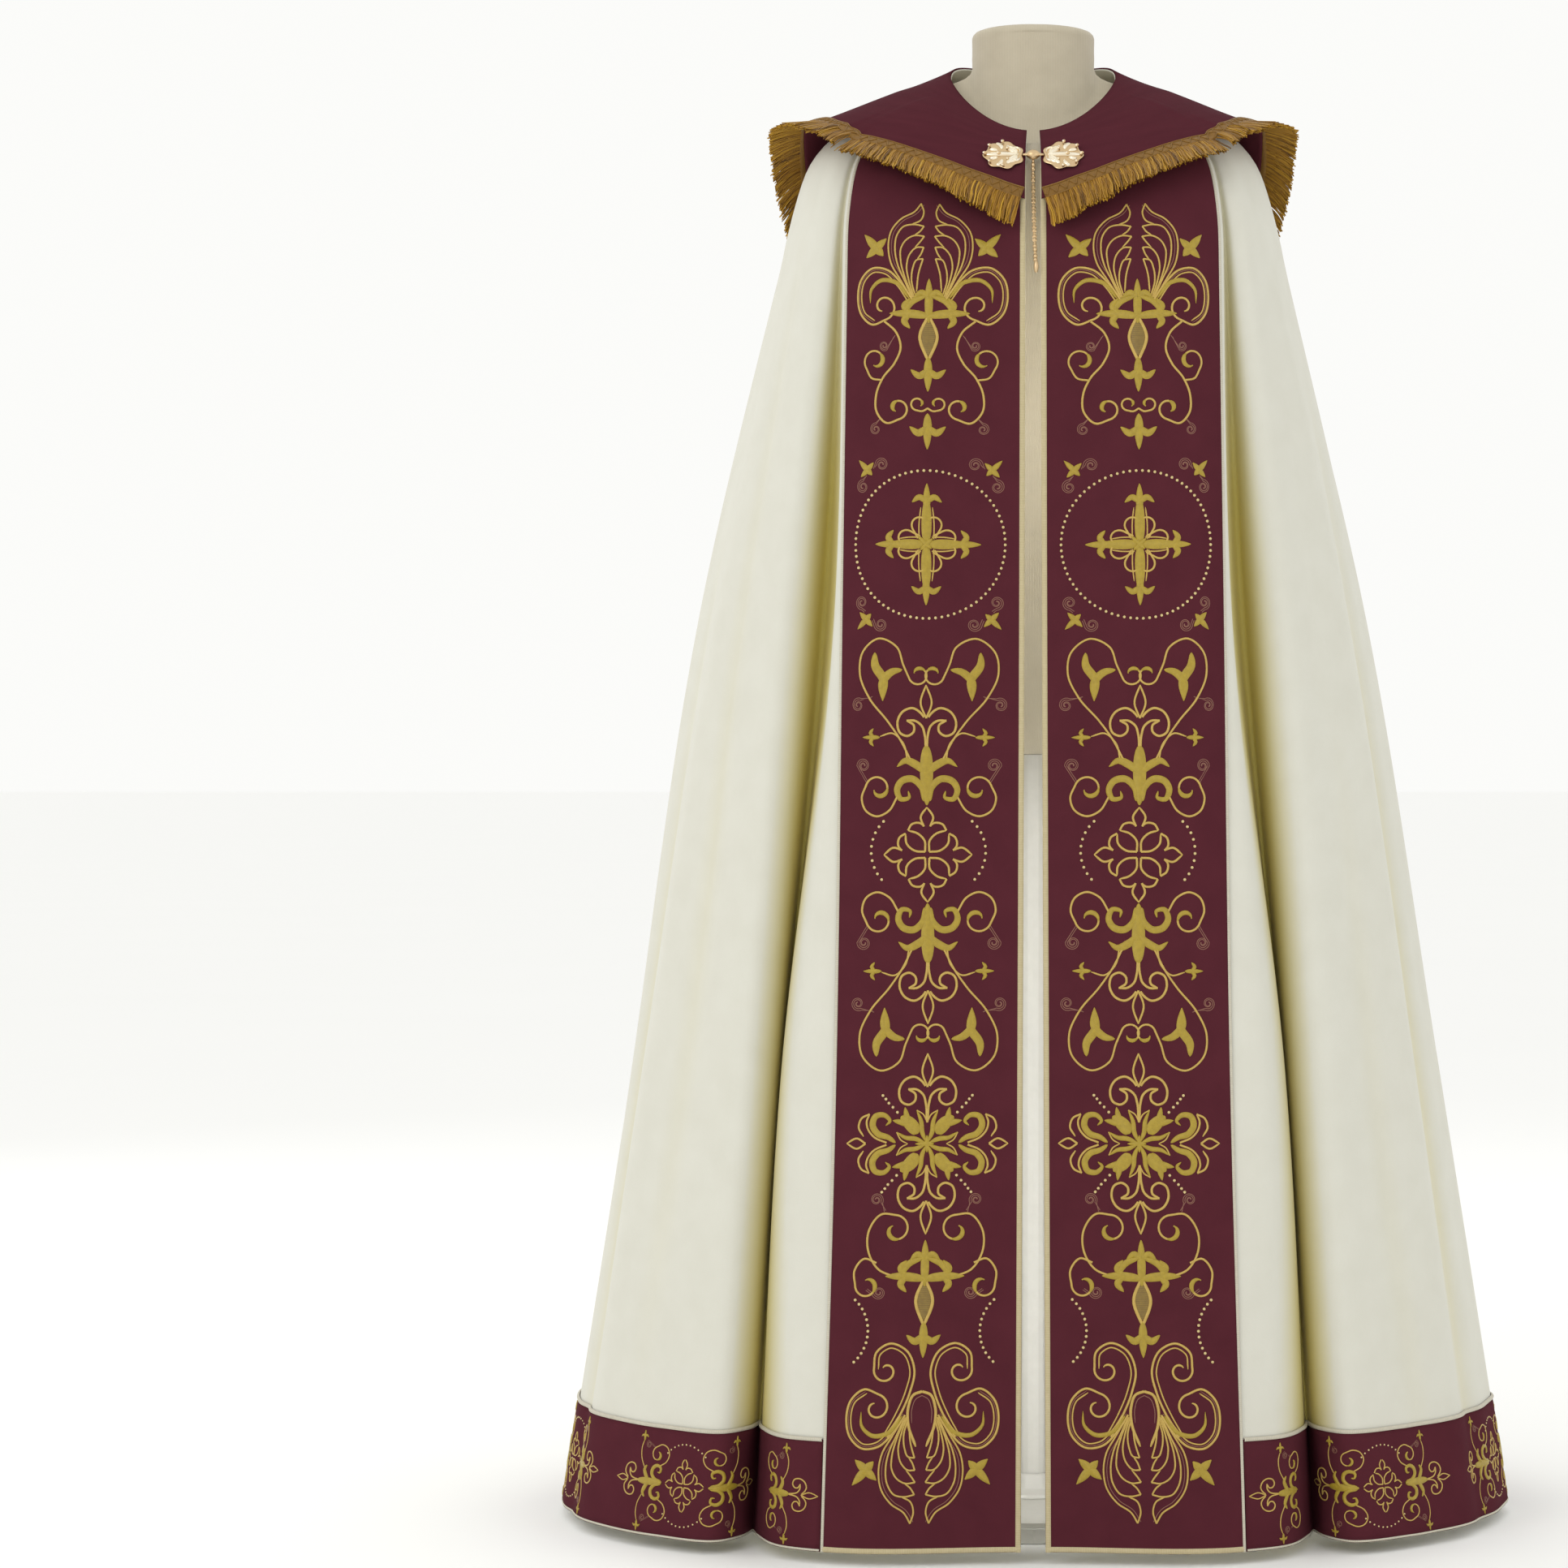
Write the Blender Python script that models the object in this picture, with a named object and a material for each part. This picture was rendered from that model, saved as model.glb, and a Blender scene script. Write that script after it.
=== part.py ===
"""Cope vestment on a limbless dress form.

A floor-length liturgical cloak, open down the front, with two embroidered orphreys, a maroon shoulder hood with a
fringe, a maroon hem band and a two-part clasp with a hanging chain. It rests on the shoulders of a plain torso form,
whose pole and round base stand inside it. Metres, +Z up, the front faces -Y, and left and right are as seen from there.
The origin is the centre of the base's underside.

Every piece of cloth is read from one surface: surface(u, t). u runs round the cloak from -1 at the left front edge
through 0 at the centre back to 1 at the right front edge, and t runs from 0 at the neckline to 1 at the hem.
"""

from functools import lru_cache
from math import cos, pi, sin

import bmesh
import bpy
import numpy as np
from mathutils import Matrix, Vector
from mathutils.bvhtree import BVHTree

# Cloth thicknesses and clearances
WALL = 0.002
ORPHREY_WALL = 0.0015
HOOD_WALL = 0.002
GAP = 0.0003

# Heights
HEM_Z = 0.012
BAND_TOP_Z = 0.122
ORPHREY_TOP_Z = 1.405
HOOD_LEVEL, ELBOW_LEVEL, KNEE_LEVEL = 1.36, 0.95, 0.48
LEVELS = (HOOD_LEVEL, ELBOW_LEVEL, KNEE_LEVEL, HEM_Z)

# Neckline: half width, depth in front of and behind the neck's axis, and how it falls from its sides to the front
NECK_HALF_WIDTH, NECK_FRONT, NECK_BACK, NECK_SIDE_Z = 0.0865, 0.120, 0.075, 1.515
NECK_FALL, NECK_FALL_AT_ENDS = 0.046, 0.031
# Shoulders: the point towards which they slope, its place as shares of the plan below, and how it falls in front
SHOULDER_Z, SHOULDER_ACROSS, SHOULDER_DEEP = 1.455, 1.03, 0.85
SHOULDER_FALL, SHOULDER_FALL_AT_ENDS = 0.035, 0.015
# Depth that turns the plan under the hood into an angle round the neck
TURN_DEPTH = 0.541
# Share of the way from neckline to hem that lies on the shoulders
SHOULDER_T = 0.13
# Rows of faces down each stretch of the cloak
SHOULDER_ROWS, SKIRT_ROWS, BAND_ROWS = 5, 12, 3
# A mitre at a sharp fold is never longer than the distance over this
MITRE_LEAST = 0.5

# The fold lines of one half, from the centre back round to the front edge. A crest is True where the hood, which
# bridges the valleys, lies on the line. hood, elbow, knee and hem are the levels above.
FOLD_COLUMNS = (
    "name", "crest", "steps", "x_hood", "y_hood", "x_elbow", "y_elbow", "x_knee", "y_knee", "x_hem", "y_hem",
)
FOLDS = (
    ("centre_back", True, 2, 0.000, 0.175, 0.000, 0.268, 0.000, 0.358, 0.000, 0.432),
    ("back_panel", True, 1, 0.086, 0.168, 0.124, 0.264, 0.152, 0.354, 0.172, 0.428),
    ("back_lip", True, 1, 0.118, 0.160, 0.160, 0.254, 0.190, 0.344, 0.212, 0.419),
    ("back_valley", False, 1, 0.134, 0.153, 0.176, 0.224, 0.208, 0.292, 0.236, 0.352),
    ("back_flute_inner", False, 1, 0.148, 0.150, 0.194, 0.246, 0.226, 0.336, 0.256, 0.404),
    ("back_flute", True, 2, 0.166, 0.142, 0.222, 0.248, 0.262, 0.342, 0.304, 0.412),
    ("back_seam", True, 2, 0.208, 0.112, 0.276, 0.206, 0.332, 0.284, 0.384, 0.346),
    ("side_back", True, 2, 0.242, 0.062, 0.328, 0.118, 0.398, 0.168, 0.468, 0.212),
    ("side", True, 2, 0.254, 0.002, 0.349, 0.020, 0.4225, 0.034, 0.499, 0.048),
    ("side_front", True, 2, 0.246, -0.068, 0.334, -0.070, 0.405, -0.083, 0.476, -0.079),
    ("flute_outer", True, 1, 0.226, -0.128, 0.284, -0.165, 0.335, -0.190, 0.3805, -0.202),
    ("flute_front", True, 1, 0.208, -0.152, 0.247, -0.196, 0.284, -0.222, 0.316, -0.233),
    ("flute_inner", False, 1, 0.199, -0.154, 0.231, -0.190, 0.264, -0.205, 0.295, -0.205),
    ("front_valley", False, 1, 0.194, -0.150, 0.213, -0.150, 0.2535, -0.152, 0.284, -0.171),
    ("panel_lip", False, 1, 0.193, -0.156, 0.198, -0.206, 0.2515, -0.216, 0.276, -0.200),
    ("panel_turn", False, 1, 0.192, -0.160, 0.1955, -0.236, 0.230, -0.260, 0.249, -0.260),
    ("orphrey_edge", True, 4, 0.188, -0.164, 0.190, -0.242, 0.196, -0.271, 0.208, -0.284),
    ("front_edge", True, 0, 0.0078, -0.190, 0.0088, -0.244, 0.0105, -0.272, 0.0122, -0.286),
)

# The hood along each crest: the height of its seen lower edge, where the fringe's heading starts, and how far that
# edge stands off the cloak
HOOD_COLUMNS = ("edge_z", "lift")
HOOD = {
    "centre_back": (1.165, 0.004),
    "back_panel": (1.192, 0.004),
    "back_lip": (1.214, 0.004),
    "back_flute": (1.250, 0.004),
    "back_seam": (1.335, 0.006),
    "side_back": (1.422, 0.010),
    "side": (1.446, 0.021),
    "side_front": (1.443, 0.021),
    "flute_outer": (1.437, 0.019),
    "flute_front": (1.429, 0.017),
    "orphrey_edge": (1.421, 0.014),
    "front_edge": (1.369, 0.004),
}
# How far the cut edge reaches under the heading, the rows of faces, and how far the hood stands off the cloak
HOOD_UNDER_HEADING = 0.011
HOOD_ROWS = 11
HOOD_LIFT = 0.004

# Fringe: the heading, the shares of its height at which it is set against the hood, and its locks
LOCKS = 204
HEADING_HEIGHT, HEADING_THICKNESS, HEADING_GAP = 0.014, 0.0016, 0.0006
HEADING_PROBES = (0.0, 0.15, 0.3, 0.45, 0.6, 0.75)
LOCK_LENGTH, LOCK_LENGTH_VARIES, LOCK_TAPER, LOCK_LEAN, LOCK_AWAY = 0.028, 0.0015, 0.55, 0.12, 0.9

# Clasp, hook and chain: CLASP_X and CLASP_Z are the middle of the right half as seen from the front
CLASP_X, CLASP_Z = 0.0295, 1.4050
CLASP_HALF_WIDTH, CLASP_HALF_HEIGHT, CLASP_THICKNESS, CLASP_DOME = 0.0220, 0.0225, 0.0022, 0.0020
CLASP_LOBES, CLASP_LOBE_DEPTH, CLASP_POINTS, CLASP_GAP = 7, 0.14, 42, 0.0017
HOOK_END_RADIUS, HOOK_KNOB_RADIUS = 0.0012, 0.0052
CHAIN_LENGTH, CHAIN_DIAMETER, CHAIN_POINTS, CHAIN_SWAY, CHAIN_FORWARD = 0.120, 0.005, 14, 0.003, 0.006

# Form: neck cap, torso sections, pole and base. The cloak rests on it at two of its own rows.
CAP_TOP_Z, CAP_HALF_WIDTH, CAP_HALF_DEPTH, CAP_ROUNDING = 1.562, 0.0645, 0.060, 0.007
NECK_FOOT_Z, NECK_FOOT_DROP = 1.515, 0.055
FORM_CLEARANCE = 0.0005
FORM_CONTACT_ROWS = (1, 2)
TORSO_COLUMNS = ("half_width", "front", "back", "height")
TORSO = (
    (0.197, 0.160, 0.140, 1.385),
    (0.176, 0.152, 0.135, 1.270),
    (0.142, 0.118, 0.112, 1.060),
    (0.172, 0.126, 0.135, 0.880),
    (0.158, 0.114, 0.122, 0.800),
)
POLE_RADIUS, BASE_RADIUS, BASE_HEIGHT, BASE_BEVEL = 0.018, 0.180, 0.020, 0.005

COLOURS = {
    "cream_cloth": ((0.78, 0.76, 0.68), 0.85, 0.0),
    "maroon_cloth": ((0.075, 0.020, 0.028), 0.80, 0.0),
    "gold_fringe": ((0.48, 0.31, 0.06), 0.55, 0.0),
    "pale_gold": ((0.80, 0.72, 0.52), 0.30, 1.0),
    "form_cloth": ((0.47, 0.42, 0.32), 0.90, 0.0),
    "painted_steel": ((0.72, 0.71, 0.67), 0.45, 0.0),
}


def material(name):
    """A Principled material in one of the object's colours."""
    made = bpy.data.materials.get(name)
    if made is None:
        colour, roughness, metallic = COLOURS[name]
        made = bpy.data.materials.new(name)
        made.use_nodes = True
        made.diffuse_color = (*colour, 1.0)
        shader = made.node_tree.nodes["Principled BSDF"]
        shader.inputs["Base Color"].default_value = (*colour, 1.0)
        shader.inputs["Roughness"].default_value = roughness
        shader.inputs["Metallic"].default_value = metallic
    return made


def add_object(name, mesh, material_name, parent):
    """Links a mesh or curve as one named, smooth-shaded sub-part."""
    made = bpy.data.objects.new(name, mesh)
    bpy.context.collection.objects.link(made)
    made.data.materials.append(material(material_name))
    made.parent = parent
    if isinstance(mesh, bpy.types.Mesh):
        mesh.shade_smooth()
        mesh.set_sharp_from_angle(angle=pi / 4)
    return made


def curve(knots, points, at):
    """A smooth curve through points, one for each knot, read at one value of the knots."""
    knots = np.asarray(knots, float)
    points = np.asarray(points, float)
    slopes = np.gradient(points, knots, axis=0)
    i = int(np.clip(np.searchsorted(knots, at) - 1, 0, len(knots) - 2))
    span = knots[i + 1] - knots[i]
    s = (at - knots[i]) / span
    start = (1 + 2 * s) * (1 - s) ** 2 * points[i] + s * (1 - s) ** 2 * span * slopes[i]
    end = s * s * (3 - 2 * s) * points[i + 1] + s * s * (s - 1) * span * slopes[i + 1]
    return start + end


def fold_value(row, column):
    return row[FOLD_COLUMNS.index(column)]


def fold_points(level):
    """Plan points of the right half's fold lines at one of the four levels."""
    return np.array([(fold_value(f, "x_" + level), fold_value(f, "y_" + level)) for f in FOLDS])


def way_along(points):
    """The distance along a row of points, at each of them."""
    return np.concatenate(([0.0], np.cumsum(np.linalg.norm(np.diff(points, axis=0), axis=1))))


def measure_knots():
    """One u for each fold line: its share of the way round, averaged over the levels."""
    ways = [way_along(fold_points(level)) for level in ("hood", "elbow", "knee", "hem")]
    return np.mean([way / way[-1] for way in ways], axis=0)


KNOTS = measure_knots()
FOLD_NAMES = [fold_value(f, "name") for f in FOLDS]
SEAM_U = float(KNOTS[FOLD_NAMES.index("back_seam")])
ORPHREY_U = float(KNOTS[FOLD_NAMES.index("orphrey_edge")])


@lru_cache(maxsize=None)
def plan(u, level, bridged):
    """Plan point of the cloak at one level. Bridged leaves out the valleys, as the hood does."""
    kept = [i for i, f in enumerate(FOLDS) if fold_value(f, "crest") or not bridged]
    half = fold_points(level)[kept]
    way = way_along(half)
    at = np.sign(u) * np.interp(abs(u), KNOTS[kept], way)
    mirrored = half[:0:-1] * (-1, 1)
    return curve(np.concatenate((-way[:0:-1], way)), np.concatenate((mirrored, half)), at)


@lru_cache(maxsize=None)
def surface(u, t, bridged=False):
    """A point of the cloak's outer face."""
    x, y = plan(u, "hood", bridged)
    if t <= SHOULDER_T:
        s = t / SHOULDER_T
        turn = np.arctan2(x, -TURN_DEPTH * y)
        front = cos(turn)
        depth = NECK_FRONT if front > 0 else NECK_BACK
        neck_z = NECK_SIDE_Z - NECK_FALL * front - NECK_FALL_AT_ENDS * front**2
        neck = np.array((NECK_HALF_WIDTH * sin(turn), -depth * front, neck_z))
        shoulder_z = SHOULDER_Z - SHOULDER_FALL * front - SHOULDER_FALL_AT_ENDS * front**2
        shoulder = np.array((SHOULDER_ACROSS * x, SHOULDER_DEEP * y, shoulder_z))
        return (1 - s) ** 2 * neck + 2 * s * (1 - s) * shoulder + s * s * np.array((x, y, HOOD_LEVEL))
    z = HOOD_LEVEL + (HEM_Z - HOOD_LEVEL) * (t - SHOULDER_T) / (1 - SHOULDER_T)
    rows = [plan(u, level, bridged) for level in ("hem", "knee", "elbow", "hood")]
    x, y = curve(LEVELS[::-1], rows, z)
    return np.array((x, y, z))


def slopes(u, t, bridged=False, step=0.0015):
    """Unit directions round and down the surface, and its outward normal."""
    round_way = surface(min(u + step, 1), t, bridged) - surface(max(u - step, -1), t, bridged)
    down_way = surface(u, min(t + step, 1), bridged) - surface(u, max(t - step, 0), bridged)
    round_way /= np.linalg.norm(round_way)
    down_way /= np.linalg.norm(down_way)
    outward = np.cross(round_way, down_way)
    outward /= np.linalg.norm(outward)
    return round_way, down_way, outward


def moved_out(u, t, distance, bridged=False):
    return surface(u, t, bridged) + distance * slopes(u, t, bridged)[2]


def t_at_height(u, z, bridged=False):
    """How far down the surface reaches a height."""
    low, high = 0.0, 1.0
    for _ in range(30):
        middle = (low + high) / 2
        low, high = (middle, high) if surface(u, middle, bridged)[2] > z else (low, middle)
    return (low + high) / 2


def round_steps():
    """The u values at which every sheet is cut into faces: each fold line and the steps between."""
    half = [0.0]
    for f, start, end in zip(FOLDS, KNOTS, KNOTS[1:]):
        count = fold_value(f, "steps")
        half += [float(start + (end - start) * (i + 1) / count) for i in range(count)]
    return [-u for u in half[:0:-1]] + half


def down_steps():
    """The t values at which every sheet is cut: close together over the shoulders, then even down to the band."""
    shoulder = [SHOULDER_T * i / SHOULDER_ROWS for i in range(SHOULDER_ROWS + 1)]
    band_t = t_at_height(0.0, BAND_TOP_Z)
    skirt = [SHOULDER_T + (band_t - SHOULDER_T) * (i + 1) / SKIRT_ROWS for i in range(SKIRT_ROWS)]
    band = [band_t + (1 - band_t) * (i + 1) / (BAND_ROWS - 1) for i in range(BAND_ROWS - 1)]
    return shoulder + skirt + band


def sheet_mesh(name, outer, inner, closed=False):
    """One closed body between two grids of points, with rims at the grid's edges."""
    outer, inner = np.asarray(outer), np.asarray(inner)
    rows, columns = outer.shape[:2]
    shape = bmesh.new()
    grids = [[[shape.verts.new(p) for p in row] for row in grid] for grid in (outer, inner)]
    last = columns if closed else columns - 1
    for r in range(rows - 1):
        for c in range(last):
            d = (c + 1) % columns
            for grid, backwards in zip(grids, (False, True)):
                corners = [grid[r][c], grid[r][d], grid[r + 1][d], grid[r + 1][c]]
                shape.faces.new([corners[0]] + corners[:0:-1] if backwards else corners)
    for r in (0, rows - 1):
        for c in range(last):
            d = (c + 1) % columns
            shape.faces.new((grids[0][r][c], grids[0][r][d], grids[1][r][d], grids[1][r][c]))
    if not closed:
        for c in (0, columns - 1):
            for r in range(rows - 1):
                shape.faces.new((grids[0][r][c], grids[0][r + 1][c], grids[1][r + 1][c], grids[1][r][c]))
    return finish_mesh(name, shape)


def finish_mesh(name, shape):
    """Cuts every face the same way, so that sheets laid on each other stay parallel, and turns the faces out."""
    bmesh.ops.triangulate(shape, faces=shape.faces[:], quad_method="FIXED")
    bmesh.ops.recalc_face_normals(shape, faces=shape.faces[:])
    mesh = bpy.data.meshes.new(name)
    shape.to_mesh(mesh)
    shape.free()
    return mesh


@lru_cache(maxsize=None)
def base_grid():
    """The cloak's outer points, and the way out at each: a mitre, so that a sheet moved out keeps its distance."""
    points = np.array([[surface(u, t) for u in round_steps()] for t in down_steps()])
    down = np.gradient(points, axis=0)
    steps = np.diff(points, axis=1)
    steps = np.concatenate((steps[:, :1], steps, steps[:, -1:]), axis=1)
    before, after = (np.cross(steps[:, i : i + points.shape[1]], down) for i in (0, 1))
    before /= np.linalg.norm(before, axis=2, keepdims=True)
    after /= np.linalg.norm(after, axis=2, keepdims=True)
    outward = before + after
    outward /= np.linalg.norm(outward, axis=2, keepdims=True)
    share = np.sum(outward * after, axis=2, keepdims=True)
    return points, outward / np.maximum(share, MITRE_LEAST)


def laid_sheet(name, low, high, first_row, far, near, trim=(0.0, 0.0)):
    """A sheet on the cloak from u = low to u = high, between two distances out. trim parts its two side edges."""
    columns = [i for i, u in enumerate(round_steps()) if low - 1e-9 <= u <= high + 1e-9]
    points, outward = (grid[first_row:, columns] for grid in base_grid())
    points = points.copy()
    for edge, inside, distance in ((0, 1, trim[0]), (-1, -2, trim[1])):
        way = points[:, inside] - points[:, edge]
        points[:, edge] += distance * way / np.linalg.norm(way, axis=1, keepdims=True)
    return sheet_mesh(name, points + far * outward, points + near * outward)


def make_cloak(parent):
    """The cream cloak: a left, a back and a right panel that meet at two seams behind the shoulders."""
    for name, low, high, trim in (
        ("cloak_left", -1, -SEAM_U, (0.0, GAP / 2)),
        ("cloak_back", -SEAM_U, SEAM_U, (GAP / 2, GAP / 2)),
        ("cloak_right", SEAM_U, 1, (GAP / 2, 0.0)),
    ):
        add_object(name, laid_sheet(name, low, high, 0, 0.0, -WALL, trim), "cream_cloth", parent)


def make_orphreys(parent):
    """Two long bands laid on the cloak's front edges, from under the hood to the hem."""
    top = t_at_height(1.0, ORPHREY_TOP_Z)
    first_row = next(i for i, t in enumerate(down_steps()) if t >= top)
    for name, low, high in (("orphrey_left", -1, -ORPHREY_U), ("orphrey_right", ORPHREY_U, 1)):
        mesh = laid_sheet(name, low, high, first_row, GAP + ORPHREY_WALL, GAP)
        add_object(name, mesh, "maroon_cloth", parent)


def make_hem_bands(parent):
    """The maroon band on the cloak's foot, from orphrey to orphrey, cut where the cloak's panels meet."""
    for name, low, high, trim in (
        ("hem_left", -ORPHREY_U, -SEAM_U, (GAP, GAP / 2)),
        ("hem_back", -SEAM_U, SEAM_U, (GAP / 2, GAP / 2)),
        ("hem_right", SEAM_U, ORPHREY_U, (GAP / 2, GAP)),
    ):
        mesh = laid_sheet(name, low, high, -BAND_ROWS, GAP + ORPHREY_WALL, GAP, trim)
        add_object(name, mesh, "maroon_cloth", parent)


def hood_value(u, column):
    """One column of the hood's table, read smoothly round the hood."""
    index = HOOD_COLUMNS.index(column)
    knots = [k for k, name in zip(KNOTS, FOLD_NAMES) if name in HOOD]
    values = [HOOD[name][index] for name in FOLD_NAMES if name in HOOD]
    both_knots = [-k for k in knots[:0:-1]] + knots
    return curve(both_knots, np.array(values[:0:-1] + values)[:, None], u)[0]


@lru_cache(maxsize=None)
def hood_edge_t(u):
    """How far down the seen lower edge of the hood lies."""
    return t_at_height(u, hood_value(u, "edge_z"), True)


def hood_point(u, v, distance):
    """A point of the hood, v from 0 at the neckline to 1 at the seen edge, and on past it under the heading."""
    eave = hood_value(u, "lift") - HOOD_LIFT
    lift = HOOD_LIFT * min(1.0, 3 * v) + eave * v**3
    return moved_out(u, v * hood_edge_t(u), GAP + lift + distance, True)


def hood_frame(u, v, step=0.004):
    """The unit direction that leads away from the neck, square to the hood's edge, and its outward normal."""
    round_way = hood_point(min(u + step, 1), v, 0) - hood_point(max(u - step, -1), v, 0)
    down_way = hood_point(u, v + 0.01, 0) - hood_point(u, v - 0.01, 0)
    outward = np.cross(round_way, down_way)
    outward /= np.linalg.norm(outward)
    away = np.cross(outward, round_way)
    away *= np.sign(away @ down_way) / np.linalg.norm(away)
    return away, outward


def hood_end_v(u):
    """v of the hood's cut edge, a little below the heading's top."""
    edge, below = hood_point(u, 1.0, 0), hood_point(u, 1.02, 0)
    return 1.0 + 0.02 * HOOD_UNDER_HEADING / np.linalg.norm(below - edge)


def make_hood(parent):
    """The maroon hood: a collar over the shoulders that ends in a V in front and in a round shield behind."""
    us = round_steps()

    def grid(distance):
        return [[hood_point(u, i / HOOD_ROWS * hood_end_v(u), distance) for u in us] for i in range(HOOD_ROWS + 1)]

    add_object("hood", sheet_mesh("hood", grid(HOOD_WALL), grid(0.0)), "maroon_cloth", parent)


def even_edge_us(count):
    """u values that part the hood's edge into stretches of equal length."""
    fine = np.linspace(-1, 1, 801)
    points = np.array([hood_point(float(u), 1.0, 0) for u in fine])
    way = way_along(points)
    return [float(u) for u in np.interp(np.linspace(0, way[-1], count + 1), way, fine)]


def heading_lifts(tops, aways, outwards):
    """How far the heading's back lies from the hood's surface function, so that it clears the hood's real faces."""
    hood = bpy.data.objects["hood"].data
    faces = [tuple(p.vertices) for p in hood.polygons]
    tree = BVHTree.FromPolygons([v.co for v in hood.vertices], faces)
    highest = []
    for top, away, outward in zip(tops, aways, outwards):
        lift = HOOD_WALL
        for share in HEADING_PROBES:
            foot = top + share * HEADING_HEIGHT * away
            hit = tree.ray_cast(Vector(foot + 0.03 * outward), Vector(-outward))[0]
            if hit is not None:
                lift = max(lift, (np.array(hit) - foot) @ outward)
        highest.append(lift)
    padded = 2 * highest[:1] + highest + 2 * highest[-1:]
    return [max(padded[i : i + 5]) + HEADING_GAP for i in range(len(highest))]


def make_fringe(parent):
    """The heading braid along the hood's edge, and a lock pulled out of each of its lower faces."""
    us = even_edge_us(LOCKS)
    tops = [hood_point(u, 1.0, 0) for u in us]
    aways, outwards = zip(*(hood_frame(u, 1.0) for u in us))
    lifts = heading_lifts(tops, aways, outwards)
    outer, inner, ways = [[], []], [[], []], []
    for top, away, outward, lift in zip(tops, aways, outwards, lifts):
        for row, drop in enumerate((0.0, HEADING_HEIGHT)):
            inner[row].append(top + lift * outward + drop * away)
            outer[row].append(top + (lift + HEADING_THICKNESS) * outward + drop * away)
        down = np.array((0, 0, -1.0)) + LOCK_AWAY * away
        down -= (down @ outward) * outward
        way = down / np.linalg.norm(down) + LOCK_LEAN * outward
        ways.append(way / np.linalg.norm(way))
    shape = bmesh.new()
    shape.from_mesh(sheet_mesh("heading", outer, inner))
    add_locks(shape, outer[1], inner[1], ways)
    add_object("hood_fringe", finish_mesh("hood_fringe", shape), "gold_fringe", parent)


def add_locks(shape, outer_foot, inner_foot, ways):
    """Extrudes each face of the heading's foot by itself into one tapering lock."""
    bmesh.ops.join_triangles(shape, faces=shape.faces[:], angle_face_threshold=0.4, angle_shape_threshold=3.0)
    foot = {}
    for i in range(len(ways) - 1):
        foot[i] = np.mean((outer_foot[i], outer_foot[i + 1], inner_foot[i], inner_foot[i + 1]), axis=0)
    centres = {tuple(np.round(p, 5)): i for i, p in foot.items()}
    for face in shape.faces[:]:
        i = centres.get(tuple(np.round(face.calc_center_median(), 5)))
        if i is None:
            continue
        way = Vector((np.asarray(ways[i]) + np.asarray(ways[i + 1])) / 2)
        length = LOCK_LENGTH + LOCK_LENGTH_VARIES * sin(2.4 * i)
        pulled = bmesh.ops.extrude_discrete_faces(shape, faces=[face])["faces"][0]
        centre = pulled.calc_center_median()
        for vert in pulled.verts:
            vert.co = centre + LOCK_TAPER * (vert.co - centre) + length * way


def u_at(x, z):
    """The u on the right half where the hood crosses a given x and height."""
    low, high = SEAM_U, 1.0
    for _ in range(30):
        middle = (low + high) / 2
        found = surface(middle, t_at_height(middle, z, True), True)[0]
        low, high = (middle, high) if found > x else (low, middle)
    return (low + high) / 2


def clasp_place():
    """Where the right clasp half lies flat on the hood: its centre, and its sideways, upward and outward ways."""
    u = u_at(CLASP_X, CLASP_Z)
    v = t_at_height(u, CLASP_Z, True) / hood_edge_t(u)
    outward = hood_frame(u, v)[1]
    centre = hood_point(u, v, HOOD_WALL + CLASP_GAP)
    sideways = np.cross((0, 0, 1.0), outward)
    sideways *= np.sign(sideways[0]) / np.linalg.norm(sideways)
    upward = np.cross(outward, sideways)
    upward *= np.sign(upward[2])
    return centre, sideways, upward, outward


def make_clasp(parent):
    """Two lobed, slightly domed plates, one on each side of the front opening."""
    centre, sideways, upward, outward = clasp_place()
    for name, side in (("clasp_left", -1), ("clasp_right", 1)):
        mirror = np.array((side, 1, 1))
        shape = bmesh.new()
        rims = []
        for lift in (0.0, CLASP_THICKNESS):
            rim = []
            for i in range(CLASP_POINTS):
                angle = 2 * pi * i / CLASP_POINTS
                reach = 1 - CLASP_LOBE_DEPTH / 2 + CLASP_LOBE_DEPTH / 2 * cos(CLASP_LOBES * angle)
                across = CLASP_HALF_WIDTH * reach * cos(angle) * sideways
                rise = CLASP_HALF_HEIGHT * reach * sin(angle) * upward
                rim.append(shape.verts.new((centre + across + rise + lift * outward) * mirror))
            rims.append(rim)
        top = shape.verts.new((centre + (CLASP_THICKNESS + CLASP_DOME) * outward) * mirror)
        shape.faces.new(rims[0])
        for i in range(CLASP_POINTS):
            j = (i + 1) % CLASP_POINTS
            shape.faces.new((rims[0][i], rims[0][j], rims[1][j], rims[1][i]))
            shape.faces.new((rims[1][i], rims[1][j], top))
        add_object(name, finish_mesh(name, shape), "pale_gold", parent)


def hook_end():
    """The middle of the right clasp half's inner tip, where the hook meets it with a small gap."""
    centre, sideways, _, outward = clasp_place()
    reach = 1 - CLASP_LOBE_DEPTH / 2 + CLASP_LOBE_DEPTH / 2 * cos(CLASP_LOBES * pi)
    return centre - CLASP_HALF_WIDTH * reach * sideways + CLASP_THICKNESS / 2 * outward


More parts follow.
